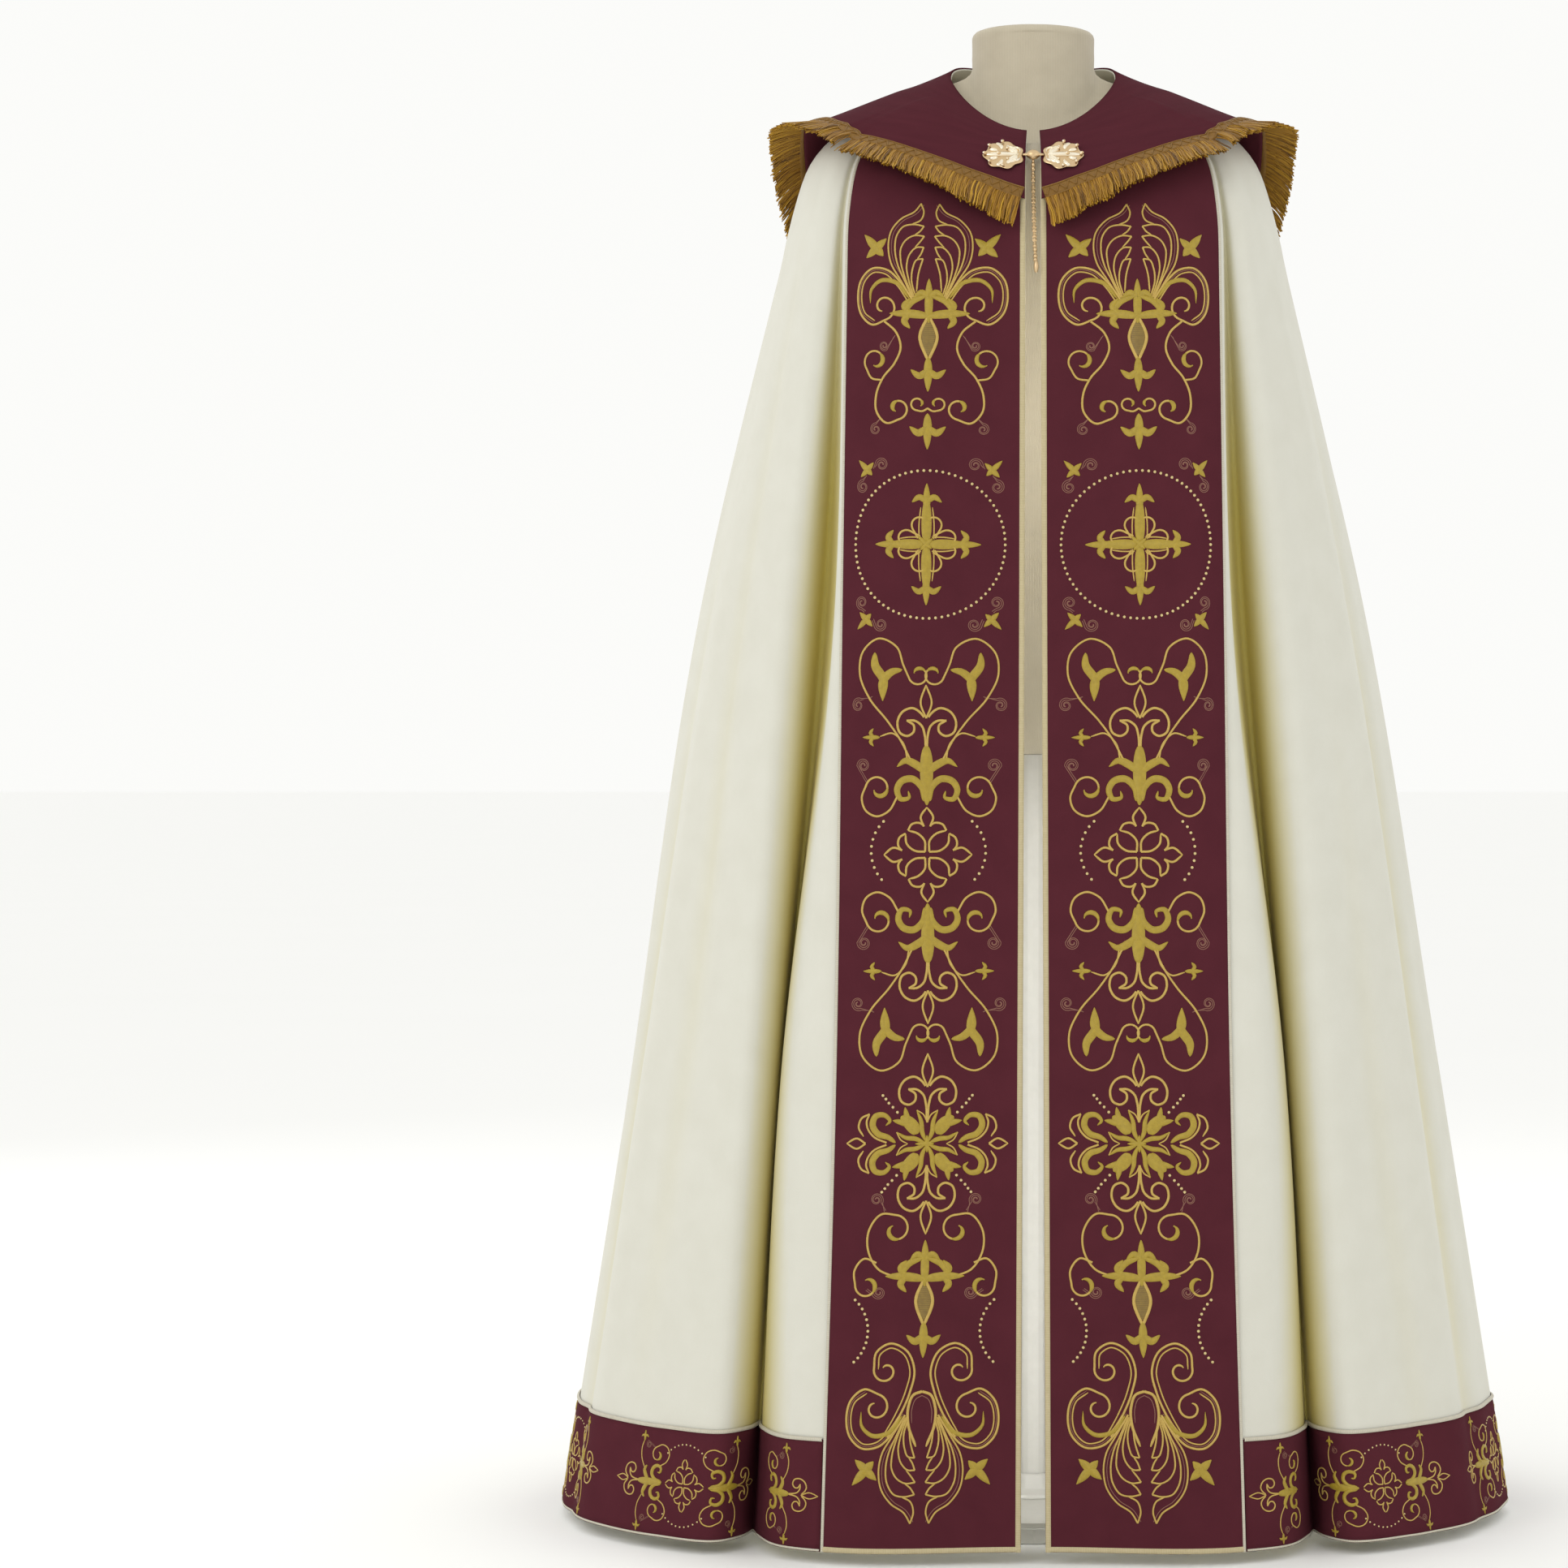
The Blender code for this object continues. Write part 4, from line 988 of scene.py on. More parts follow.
clasp_u, clasp_v = hood_place(CLASP_X, CLASP_Z)
clasp_centre = hood_at(clasp_u, clasp_v, HOOD_WALL + CLASP_GAP)
around = hood_at(clasp_u + 0.004, clasp_v) - hood_at(clasp_u - 0.004, clasp_v)
downwards = hood_at(clasp_u, clasp_v + 0.01) - hood_at(clasp_u, clasp_v - 0.01)
clasp_out = np.cross(around, downwards)
clasp_out /= np.linalg.norm(clasp_out)
clasp_side = np.cross((0, 0, 1.0), clasp_out)
clasp_side *= np.sign(clasp_side[0]) / np.linalg.norm(clasp_side)
clasp_up = np.cross(clasp_out, clasp_side)
clasp_up *= np.sign(clasp_up[2])
print("clasp at", clasp_centre.round(4), "facing", clasp_out.round(3))


def on_clasp(p, q, out, mirror):
    """Points on a clasp half: p metres away from the opening, q up and out off the plate."""
    p, q, out = (np.asarray(value, float)[..., None] for value in (p, q, out))
    return (clasp_centre + p * clasp_side + q * clasp_up + out * clasp_out) * (mirror, 1, 1)


def clasp_plate(mirror):
    """The lobed back plate, from a rounded face down to a flat back."""
    angle = np.linspace(0, tau, CLASP_SIDES, endpoint=False)
    reach = 1 - CLASP_LOBE_DEPTH / 2 + CLASP_LOBE_DEPTH / 2 * np.cos(CLASP_LOBES * angle)
    rings = ((0.02, 1.25), (0.35, 1.2), (0.7, 1.05), (0.9, 0.85), (0.97, 0.6), (0.985, 0.15), (0.95, 0.0), (0.02, 0.0))
    across, up = CLASP_HALF_WIDTH * reach * np.cos(angle), CLASP_HALF_HEIGHT * reach * np.sin(angle)
    flat = np.ones(CLASP_SIDES)
    return np.array([on_clasp(size * across, size * up, CLASP_THICKNESS * rise * flat, mirror) for size, rise in rings])


# %% Leaf lines
def bend_line(start, heading, legs, step=1.2):
    """A plane line drawn like a walk: each leg is the radius at its start and end, and its turn in degrees."""
    points, at, way = [np.array(start, float)], np.array(start, float), radians(heading)
    for first, last, turn in legs:
        angle = radians(abs(turn))
        length = (first + last) / 2 * angle if turn else first
        count = max(3, int(length / step))
        for i in range(count):
            share = (i + 0.5) / count
            if turn:
                radius = first + (last - first) * share
                turned = angle / count
                move = radius * turned
                way += np.sign(turn) * turned / 2
            else:
                move = first / count
            at = at + move * np.array((cos(way), sin(way)))
            if turn:
                way += np.sign(turn) * turned / 2
            points.append(at)
    return np.array(points)


def swell(count, width, blunt=0.5, tip=0.12):
    """Widths of a leaf: narrow at its foot, wide in its middle, and pointed."""
    s = np.linspace(0, 1, count)
    return width * np.maximum(tip, np.sin(pi * s**0.8) ** blunt)


# Each row: p of foot, q of foot, heading, legs, width, height
CLASP_LEAVES = (
    (-15, 0, 0, ((33, 33, 0),), 8.0, 2.4),
    (-14, 1, 38, ((40, 22, 32),), 7.0, 2.2),
    (-14, -1, -38, ((40, 22, -32),), 7.0, 2.2),
    (-13, 2, 82, ((14, 9, -70),), 6.0, 2.0),
    (-13, -2, -82, ((14, 9, 70),), 6.0, 2.0),
    (2, 8, 100, ((9, 5, -95),), 5.0, 2.2),
    (2, -8, -100, ((9, 5, 95),), 5.0, 2.2),
    (6, 5, 30, ((16, 9, -40),), 4.2, 2.6),
    (6, -5, -30, ((16, 9, 40),), 4.2, 2.6),
    (-16, 3, 120, ((5, 2.2, -260),), 2.0, 2.0),
    (-16, -3, -120, ((5, 2.2, 260),), 2.0, 2.0),
)


LEAF_FOOT = CLASP_THICKNESS * 0.9


def clasp_runs(mirror):
    """Each leaf is a broad ribbon with a thin vein on its back."""
    runs = []
    for p, q, heading, legs, width, height in CLASP_LEAVES:
        line = bend_line((p, q), heading, legs, 0.9) * 0.001
        count, (across, up) = len(line), line.T
        widths, rise = swell(count, 0.001 * width), swell(count, 0.001 * height, 0.4, 0.3)
        outward = np.broadcast_to(clasp_out * (mirror, 1, 1), (count, 3))
        leaf = on_clasp(across, up, np.full(count, LEAF_FOOT), mirror)
        vein = on_clasp(across, up, LEAF_FOOT + 0.85 * rise, mirror)
        runs.append((leaf, outward, widths, 0.9 * rise))
        runs.append((vein, outward, widths * 0.16, np.full(count, 0.0006)))
    return runs


def knots_mesh(name, places, outwards, radius, sides=8, rows=4, squash=0.8):
    """Small domes, one at each place."""
    angle = np.linspace(0, tau, sides, endpoint=False)
    rise = np.linspace(-0.35, 1.0, rows) * pi / 2
    points, quads, uvs, count = [], [], [], 0
    for place, out in zip(places, outwards):
        side = np.cross(out, (0.12, 0.31, 0.94))
        side /= np.linalg.norm(side)
        other = np.cross(out, side)
        ring = np.cos(angle)[None, :, None] * side + np.sin(angle)[None, :, None] * other
        reach = np.maximum(np.cos(rise), 0.02)[:, None, None]
        points.append((place + radius * (reach * ring + squash * np.sin(rise)[:, None, None] * out)).reshape(-1, 3))
        uvs.append(np.stack(np.broadcast_arrays(rise[:, None] * radius, angle[None] * radius), -1).reshape(-1, 2))
        quads.append(grid_quads(rows, sides, count, closed=True))
        count += sides * rows
    return quad_mesh(name, np.concatenate(points), np.concatenate(quads), np.concatenate(uvs))


def joined(name, meshes):
    """One mesh out of several."""
    shape = bmesh.new()
    for mesh in meshes:
        shape.from_mesh(mesh)
    made = bpy.data.meshes.new(name)
    shape.to_mesh(made)
    shape.free()
    return made


# Each row: p, q, radius, all in millimetres
CLASP_BEADS = (
    (19.5, 0.0, 2.2), (14.5, 12.5, 2.0), (14.5, -12.5, 2.0), (1.0, 19.0, 1.9), (1.0, -19.0, 1.9),
    (-4.0, 8.5, 1.5), (-4.0, -8.5, 1.5), (5.0, 0.0, 2.4),
)
BEAD_OUT = 0.0034
for name, mirror in (("clasp_left", -1), ("clasp_right", 1)):
    plate_mesh = ring_mesh(name + "_plate", clasp_plate(mirror), mirror > 0)
    leaves = ribbon_mesh(name + "_leaves", clasp_runs(mirror))
    facing = [clasp_out * (mirror, 1, 1)]
    beads = [
        knots_mesh(name + "_beads", [on_clasp(0.001 * p, 0.001 * q, BEAD_OUT, mirror)], facing, 0.001 * size, 12, 6)
        for p, q, size in CLASP_BEADS
    ]
    piece = add_piece(name + "_leaf", joined(name + "_leaf", [plate_mesh, leaves, *beads]), plate.material)
    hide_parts(name)
    print(name, len(piece.data.polygons), "faces")

# %% Hook and knob
hook_end = clasp_centre - CLASP_HALF_WIDTH * (1 - CLASP_LOBE_DEPTH) * clasp_side + 0.0011 * clasp_out
HALF_HOOK = hook_end[0] - GAP
# Each row: x as a share of half the hook, radius. The knob is the same on both sides of its middle.
KNOB_HALF = (
    (0.3, 0.0046), (0.55, 0.0026), (0.66, 0.0013), (0.74, 0.0021), (0.8, 0.0013), (0.98, 0.0013), (1.0, 0.0004),
)
KNOB = [(-x, radius) for x, radius in KNOB_HALF[::-1]] + [(0.0, 0.0052), *KNOB_HALF]
KNOB_SIDES = 24
angle = np.linspace(0, tau, KNOB_SIDES, endpoint=False)
rings = [
    np.stack((np.full(KNOB_SIDES, HALF_HOOK * x), hook_end[1] + r * np.cos(angle), hook_end[2] + r * np.sin(angle)), -1)
    for x, r in KNOB
]
mesh = ring_mesh("clasp_knob", rings)
knob = add_piece("clasp_knob", mesh, plate.material)
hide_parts("clasp_hook")
print("hook across", round(2000 * HALF_HOOK, 1), "mm")

# %% [markdown]
# The chain is a free cord, so its real length and thickness are stated, and it follows the same line as the frame's
# chain: straight down from the knob, easing back until it hangs just in front of the opening. Beads of two sizes are
# threaded on it, and a small drop ends it.

# %% Chain
CHAIN_LENGTH, CHAIN_DIAMETER, CHAIN_POINTS, CHAIN_SWAY, CHAIN_FORWARD = 0.120, 0.005, 28, 0.003, 0.006
chain_top = hook_end[2] - 0.0052 - GAP
share = np.linspace(0, 1, CHAIN_POINTS)
heights = chain_top - CHAIN_LENGTH * share
front_t = np.interp(-heights, -cloth.points[:, -1, 2], cloth.ts)
front_y = cloth.at(1.0, front_t)[:, 1] - CHAIN_FORWARD
ease = share**2 * (3 - 2 * share)
route = np.stack((CHAIN_SWAY * share**2, (1 - ease) * hook_end[1] + ease * front_y, heights), 1)
chain_way = way_along(route)
bead_shapes, at, i = [], 0.0012, 0
while at < chain_way[-1] - 0.012:
    centre = np.array([np.interp(at, chain_way, route[:, k]) for k in range(3)])
    size = 0.0024 if i % 3 else 0.0017
    bead_shapes.append((centre, size))
    at += 0.0041 if i % 3 else 0.0036
    i += 1


def ball(name, centre, radius, stretch=1.0, sides=10, rows=8):
    """A bead: a little globe, longer than wide if it is stretched."""
    rise = np.linspace(-pi / 2 + 0.05, pi / 2 - 0.05, rows)
    angle = np.linspace(0, tau, sides, endpoint=False)
    reach, up = np.cos(rise)[:, None], stretch * np.sin(rise)[:, None]
    globe = np.stack(np.broadcast_arrays(reach * np.cos(angle), reach * np.sin(angle), up), -1)
    return ring_mesh(name, centre + radius * globe, True)


beads = [ball("bead", centre, size) for centre, size in bead_shapes]
beads.append(ball("drop", route[-1] + (0, 0, 0.0065), 0.0025, 2.6, 14, 12))
thread_line = tube_mesh("chain_thread", [(route, np.broadcast_to((0.0, -1.0, 0.0), route.shape))], 0.0007, 6)
chain = add_piece("clasp_beads", joined("clasp_beads", [*beads, thread_line]), plate.material)
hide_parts("clasp_chain")
print("chain", round(float(chain_way[-1]), 3), "m,", len(beads), "beads")

# %% [markdown]
# ## Embroidery
#
# Each orphrey carries a tall column of scrolls, leaves and crosses. A machine sews such work from a drawing, line by
# line, and this is built the same way. A Pattern collects lines in millimetres, a across the panel from its middle and
# b up from the motif's own middle, and only at the end are they laid on the cloth as raised thread.
#
# Three strokes are enough. A vine is even, runs through a few places and may roll up at its end. A leaf swells and
# comes to a point. A knot is a small dome. All the motifs are traditional: scrolls, lilies, palm leaves, crosses,
# four-leaved flowers and strings of knots.

# %% The pattern book
# Each row: material, height of a broad line
THREADS = {
    "brown": (brown_thread, 0.0004), "net": (net_thread, 0.0005),
    "pale": (pale_thread, 0.0009), "gold": (gold_thread, 0.0012),
}


def smooth_line(points, step=1.5):
    """A smooth line through a few places."""
    points = np.asarray(points, float)
    knots = way_along(points)
    return curve(knots, points, np.linspace(0, knots[-1], max(4, int(knots[-1] / step))))


def beside(points, distance):
    """The line that runs beside another one, distance to its left."""
    line = smooth_line(points, 4.0)
    way = np.gradient(line, axis=0)
    return line + distance * np.stack((-way[:, 1], way[:, 0]), 1) / np.linalg.norm(way, axis=1, keepdims=True)


class Pattern:
    """Lines of thread in millimetres, each with its colour and widths, and the places of raised knots."""

    def __init__(self):
        self.lines, self.knots = [], []

    def line(self, colour, points, widths, both):
        self.lines.append((colour, points, widths))
        if both:
            self.lines.append((colour, points * (-1, 1), widths))

    def vine(self, places, curl=(), width=2.6, comma=None, colour="pale", both=True):
        """An even line. It may roll up, by bend_line's legs, and end in a comma of a given length and width."""
        points = smooth_line(places)
        if curl:
            way = points[-1] - points[-2]
            points = np.concatenate((points, bend_line(points[-1], degrees(atan2(way[1], way[0])), curl, 1.3)[1:]))
        left = way_along(points)
        left = left[-1] - left
        self.line(colour, points, width * np.clip(0.5 + left / 8, 0, 1), both)
        if comma:
            inside = left < comma[0]
            self.line("gold", points[inside], swell(inside.sum(), comma[1], 0.8, 0.15), both)

    def leaf(self, places, width, both=True, colour="gold", blunt=0.6):
        points = smooth_line(places, 1.4)
        self.line(colour, points, swell(len(points), width, blunt, 0.1), both)

    def bud(self, foot, tip, half_width, both=False, width=2.0):
        """A pointed leaf in outline."""
        foot, tip = np.array(foot, float), np.array(tip, float)
        side = half_width * np.array((foot - tip)[::-1]) * (1, -1) / np.linalg.norm(tip - foot)
        for way in (-1, 1):
            self.vine((foot, foot * 0.55 + tip * 0.45 + way * side, tip), width=width, both=both)

    def lily(self, centre, size, heading=90, both=False):
        """A small solid lily: a straight petal and two that spread and turn back at their tips."""
        ahead = size * np.array((cos(radians(heading)), sin(radians(heading))))
        side = np.array((-ahead[1], ahead[0]))
        centre = np.array(centre, float)
        self.leaf([centre + k * ahead for k in (-0.95, 0.1, 1.25)], 0.58 * size, both)
        for k in (-1, 1):
            bend, tip = 0.24 * ahead + 0.5 * k * side, -0.14 * ahead + 1.04 * k * side
            self.leaf([centre - 0.15 * ahead, centre + bend, centre + tip], 0.5 * size, both)

    def star(self, centre, size, heading=45, both=True):
        """A four-pointed flower with one long point."""
        for turn, share in ((0, 1.3), (90, 0.95), (180, 0.75), (270, 0.95)):
            way = size * share * np.array((cos(radians(heading + turn)), sin(radians(heading + turn))))
            self.leaf([centre - 0.25 * way, centre + 0.4 * way, centre + way], 0.58 * size, both, blunt=0.75)

    def spiral(self, centre, radius, heading=0, turn=-560, both=True, tail=None):
        """A thin double line, rolled up. Its tail joins it to a vine."""
        for share in (1.0, 0.72):
            angle = radians(heading) + np.radians(turn) * np.linspace(0, 1, 30)
            reach = radius * share * np.linspace(1, 0.2, 30)
            points = np.array(centre) + reach[:, None] * np.stack((np.cos(angle), np.sin(angle)), 1)
            if tail is not None:
                points = np.concatenate(([np.array(tail, float) + (1 - share) * 5], points))
            self.line("brown", points, np.full(len(points), 0.8), both)

    def beads(self, places, both=True):
        self.knots += [tuple(p) for p in places] + [(-p[0], p[1]) for p in places if both]

    def add(self, other, at=(0, 0), scale=1.0, turn=0, flip=False):
        """Puts another pattern into this one: turned over, turned round, scaled and moved."""
        c, s = cos(radians(turn)) * scale, sin(radians(turn)) * scale
        matrix = np.array(((c, s), (-s, c))) * ((1,), (-1 if flip else 1,))
        for colour, points, widths in other.lines:
            self.lines.append((colour, points @ matrix + at, widths * scale))
        self.knots += [tuple(np.array(p) @ matrix + at) for p in other.knots]

    def thin(self):
        """Keeps every second point, for motifs that are sewn small."""
        self.lines = [(c, *((p, w) if len(p) < 8 else (p[::2], w[::2]))) for c, p, w in self.lines]


def round_beads(centre, across, up, first, last, count):
    """Places for knots on an arc, from one angle to another in degrees."""
    angle = np.radians(np.linspace(first, last, count))
    return np.stack((centre[0] + across * np.cos(angle), centre[1] + up * np.sin(angle)), 1)


print("pattern book open")

# %% [markdown]
# ### Motifs
#
# Only the left half of a motif is drawn, and the rest is mirrored. The winged cross stands at the top of the column.
# Each wing is a palm leaf of five feathers, and beside it a big double scroll rolls in.


# %% Wings and crosses
FEATHERS = (
    ((-9, 120), (-15, 110), (-28, 101), (-38, 87), (-41, 70), (-38, 52), (-29, 36), (-17, 16)),
    ((-5.5, 92), (-15, 94), (-25, 92), (-32, 82), (-34, 66), (-31, 50), (-24, 34), (-16, 16)),
    ((-5, 80), (-14, 81), (-22, 77), (-28, 67), (-28, 54), (-24, 38), (-15, 16)),
    ((-5.5, 68), (-12, 68), (-19, 61), (-22, 49), (-20, 35), (-14, 16)),
    ((-6, 56), (-12, 55), (-16, 46), (-17, 34), (-13, 18)),
)
FEATHER_TIPS = (
    ((-9, 120), (-6, 109), (-9, 99), (-18, 94)), ((-5.5, 92), (-9, 86), (-15, 81)), ((-5, 80), (-9, 74), (-14, 68)),
    ((-5.5, 68), (-8, 61), (-12, 55)), ((-6, 56), (-10, 42), (-12, 22)),
)
WING_SCROLL = ((-16, 14), (-28, 32), (-42, 45), (-58, 47), (-71, 36), (-75, 18), (-70, -1), (-57, -11), (-42, -6))


def wings():
    p = Pattern()
    for places in FEATHERS + FEATHER_TIPS:
        p.vine(places, width=1.9)
    p.vine(beside(FEATHERS[0], 3.2), width=0.8, colour="brown")
    p.vine(WING_SCROLL, ((13, 10, 150), (9, 5, 190)), 2.4)
    p.vine(beside(WING_SCROLL[:-1], 4.6), width=1.6)
    p.vine(beside(WING_SCROLL[:-1], 2.3), width=0.8, colour="brown")
    p.leaf(((-19, 15), (-33, 32), (-49, 34), (-59, 25), (-60, 11)), 5.0)
    p.star((-54, 68), 15.5, 132)
    return p


def cross_head():
    """A lily cross with two open eyes at its middle."""
    p = Pattern()
    p.lily((0, 18), 14, 90)
    p.lily((-20, 0), 15, 180, True)
    p.leaf(((0, 24), (0, 8), (0, -10)), 9.0, False, blunt=0.4)
    p.leaf(((-24, 1), (-16, 12), (-2, 18)), 7.0, blunt=0.4)
    p.leaf(((-26, 0), (-12, -1), (1, -3)), 9.5, blunt=0.35)
    return p


def stem(length):
    """A long almond with a netted heart, and a lily that points down."""
    p = Pattern()
    p.leaf(((0, -8), (0, -0.5 * length), (0, -length)), 14, False, "net", 0.5)
    p.bud((0, -2), (0, -length - 6), 8.2, width=3.4)
    p.lily((0, -length - 17), 16, -90)
    return p


def winged_cross():
    p = Pattern()
    for part in (wings(), cross_head(), stem(43)):
        p.add(part)
    p.lily((0, -118), 16.5, -90)
    long_vine = (
        (-44, -8), (-32, -19), (-27, -35), (-33, -51), (-45, -66), (-52, -83), (-51, -101), (-40, -112), (-27, -108),
    )
    p.vine(long_vine, ((11, 8, 150), (7, 4, 180)), 2.4, (17, 5))
    p.vine(((0, -97), (-5, -100), (-11, -99)), ((6.5, 5, -230), (4, 3, -90)), 2.2, (8, 3.4))
    p.vine(((-47, -68), (-57, -66), (-64, -55)), ((12, 9, -190), (8, 5, -150)), 2.2, (22, 5))
    p.spiral((-44, -33), 5.5, 300, -520, tail=(-34, -24))
    p.spiral((-52, -118), 6.5, 90, 520, tail=(-48, -108))
    return p


# %% [markdown]
# A ring of knots comes next, with a little flower at each corner. In it stands a plain cross with lily ends, drawn for
# this model, in thick gold with a pale outline and a scroll in each quarter.


# %% Ring
def ring():
    p = Pattern()
    p.beads(round_beads((0, 0), 74, 74, 0, 355.4, 78), False)
    for y in (1, -1):
        p.star((-61, 75 * y), 10.5, 135 * y)
        p.spiral((-45, 80 * y), 7.5, 180, -560 * y, tail=(-54, 76 * y))
        p.spiral((-66, 58 * y), 7.5, 90 * y, 560 * y, tail=(-63, 68 * y))
    for heading, reach in ((0, 34), (90, 44), (180, 34), (270, 44)):
        way = np.array((cos(radians(heading)), sin(radians(heading))))
        side = np.array((-way[1], way[0]))
        p.leaf([3 * way, 0.5 * reach * way, reach * way], 11, False, blunt=0.3)
        p.lily(reach * way, 13.5, heading)
        for k in (-1, 1):
            outline = [5 * way + 7 * k * side, 0.5 * reach * way + 7 * k * side, (reach - 7) * way + 5.5 * k * side]
            p.vine(outline, width=1.5, both=False)
            scroll = [6 * way + 8 * k * side, 15 * way + 13 * k * side]
            p.vine(scroll, ((9, 6, -150 * k), (5, 3, -150 * k)), 2.2, (10, 3.6), both=False)
    p.star((0, 0), 9, 45, False)
    return p


# %% [markdown]
# Below the ring grows a lily tree: two vines that bend over into hearts, each with a two-lobed leaf, an outlined lily
# between them, and a big solid lily at the foot with scrolls. It comes twice, the second time upside down.


# %% Lily tree
def outline_lily(foot=33):
    p = Pattern()
    p.bud((0, 0), (0, 33), 5.2, width=2.2)
    petal = (
        (-2, 1), (-5, 5), (-13, 10), (-22, 7), (-28, -4), (-25, -15), (-18, -17.5), (-12, -13), (-12, -7), (-19, -2.5),
    )
    p.vine(petal)
    p.vine(((-19, -2.5), (-11, -2.5), (-4, -8), (-1.6, -16), (-0.5, -foot)))
    return p


def solid_lily(side_flower):
    """The big lily and its scrolls. Small flowers stand on thin stems at each side."""
    p = Pattern()
    p.leaf(((0, 31), (0, 8), (0, -28)), 14, False, blunt=0.5)
    p.leaf(((1, 2), (-10, 12), (-20, 16), (-29, 10)), 8.5)
    p.leaf(
        ((-3, -24), (-5, -10), (-14, -2), (-24, -4), (-29, -13), (-25, -22), (-17, -20), (-18, -14)), 7.5, blunt=0.45
    )
    scroll = ((-29, -20), (-38, -34), (-50, -39), (-62, -33), (-66, -21), (-61, -8))
    p.vine(scroll, ((13, 10, -150), (9, 5, -190)), 2.3, (24, 5))
    p.spiral((-64, 11), 7.5, 180, -560, tail=(-60, -7))
    p.vine(((-18, 14), *side_flower[:-1]), width=1.9)
    p.lily(side_flower[-1], 8.5, 180, True)
    return p


def lily_tree():
    p = Pattern()
    p.add(solid_lily(((-23, 34), (-33, 43), (-46, 40), (-54, 39))))
    p.add(outline_lily(), (0, 58))
    heart = (
        (-16, 18), (-25, 36), (-38, 55), (-58, 79), (-68, 102),
        (-65, 123), (-46, 137), (-28, 128), (-22, 111), (-16, 97),
    )
    p.vine(heart, ((9, 8, 190), (7, 4, 150)), 2.2, (15, 4.2))
    p.leaf(((-51, 123), (-51, 111), (-42, 96), (-43, 75)), 9.5)
    p.leaf(((-23, 106), (-33, 104), (-43, 94), (-43, 75)), 8.5)
    p.spiral((-70, 71), 7.5, 60, 560, tail=(-55, 78))
    return p


# %% [markdown]
# Between the two trees sits a four-leaved flower in outline, with a string of knots on each side. Below them is the
# widest motif, a compass flower: split petals up, down and sideways, solid bells between them, lines of knots like
# rays, and fans of scrolls left and right.


# %% Flowers
def four_leaf():
    quarter = Pattern()
    for places in (
        ((-2, 3), (-2.5, 14), (-9, 21), (-18.5, 24)), ((-18.5, 24), (-15, 30), (-6, 31), (-3, 28)),
        ((-3, 28), (-6, 37), (0, 47)), ((-2, 3), (-12, 4), (-20, 11), (-21, 21)),
        ((-21, 21), (-27, 17), (-28, 8), (-24.5, 4.5)), ((-24.5, 4.5), (-33, 7), (-43, 0)),
    ):
        quarter.vine(places, width=2.4)
    p = Pattern()
    p.add(quarter)
    p.add(quarter, flip=True)
    return p


def compass():
    quarter = Pattern()
    quarter.leaf(((-1, 2), (-5, 12), (-6, 22), (-10.5, 33)), 5.2)
    quarter.vine(((-10.5, 33), (-4, 29), (0, 21)), width=1.6)
    quarter.leaf(((-2, 1), (-12, 5), (-21, 6), (-30, 11.5)), 5.2)
    quarter.vine(((-30, 11.5), (-26, 4), (-19, 0)), width=1.6)
    quarter.leaf(((-9, 10), (-17, 20), (-26, 27)), 14, blunt=0.4)
    quarter.leaf(((-17, 18), (-20, 26), (-22, 36)), 6.5)
    quarter.leaf(((-17, 18), (-25, 21), (-34, 23)), 6.5)
    quarter.beads([(-29.5, 31), (-34, 36), (-38, 40), (-41, 44), (-44, 47.5)])
    fan = ((-31, 1), (-38, 6), (-49, 10), (-54, 18), (-51, 27), (-42, 28), (-37, 22), (-41, 18))
    quarter.leaf(fan, 7.0, blunt=0.45)
    quarter.vine(((-40, 1), (-53, 7), (-59, 15), (-60, 22), (-57, 29)), width=2.2)
    quarter.vine(((-57, 29), (-65, 25), (-68, 16), (-63, 7)), width=2.2)
    p = Pattern()
    p.add(quarter)
    p.add(quarter, flip=True)
    p.bud((-61, 0), (-80, 0), 5.0, True, 2.2)
    p.add(outline_lily(35), (0, 56))
    p.add(outline_lily(35), (0, -56), flip=True)
    p.star((0, 0), 9, 0, False)
    return p


def rising_cross():
    """The lower cross, whose arms run out into two tall scrolls."""
    p = Pattern()
    p.add(cross_head())
    p.add(stem(43))
    tall_scroll = ((-31, 0), (-45, 6), (-56, 23), (-56, 45), (-43, 61), (-29, 60))
    p.vine(tall_scroll, ((13, 11, -160), (9, 5, -180)), 2.3, (24, 5))
    p.vine(((-48, 13), (-60, 17), (-70, 5), (-69, -10)), ((11, 9, 170), (8, 5, 130)), 2.3, (22, 5))
    p.spiral((-45, -16), 7.0, 200, 560, tail=(-58, -14))
    p.spiral((-49, 75), 7.0, 330, 560, tail=(-41, 63))
    p.beads(round_beads((-96, -54), 41, 41, -48, 48, 13))
    return p


def wing_foot():
    """The wings upside down, with one more pair of scrolls and a loop where they meet."""
    p = Pattern()
    p.add(wings(), flip=True)
    top_scroll = ((-33, -36), (-22, -16), (-12, 8), (-8, 30), (-16, 49), (-32, 56), (-46, 47), (-48, 31))
    p.vine(top_scroll, ((11, 9, 160), (8, 4, 180)), 2.4)
    p.vine(beside(top_scroll, 4.4), width=1.6)
    p.vine(((0, 9), (-8, 6), (-13, -6), (-13, -22), (-5, -45)), width=3.0)
    p.vine(((0, 5), (-5.5, 2), (-9.5, -8), (-9.5, -22)), width=0.9, colour="brown")
    return p


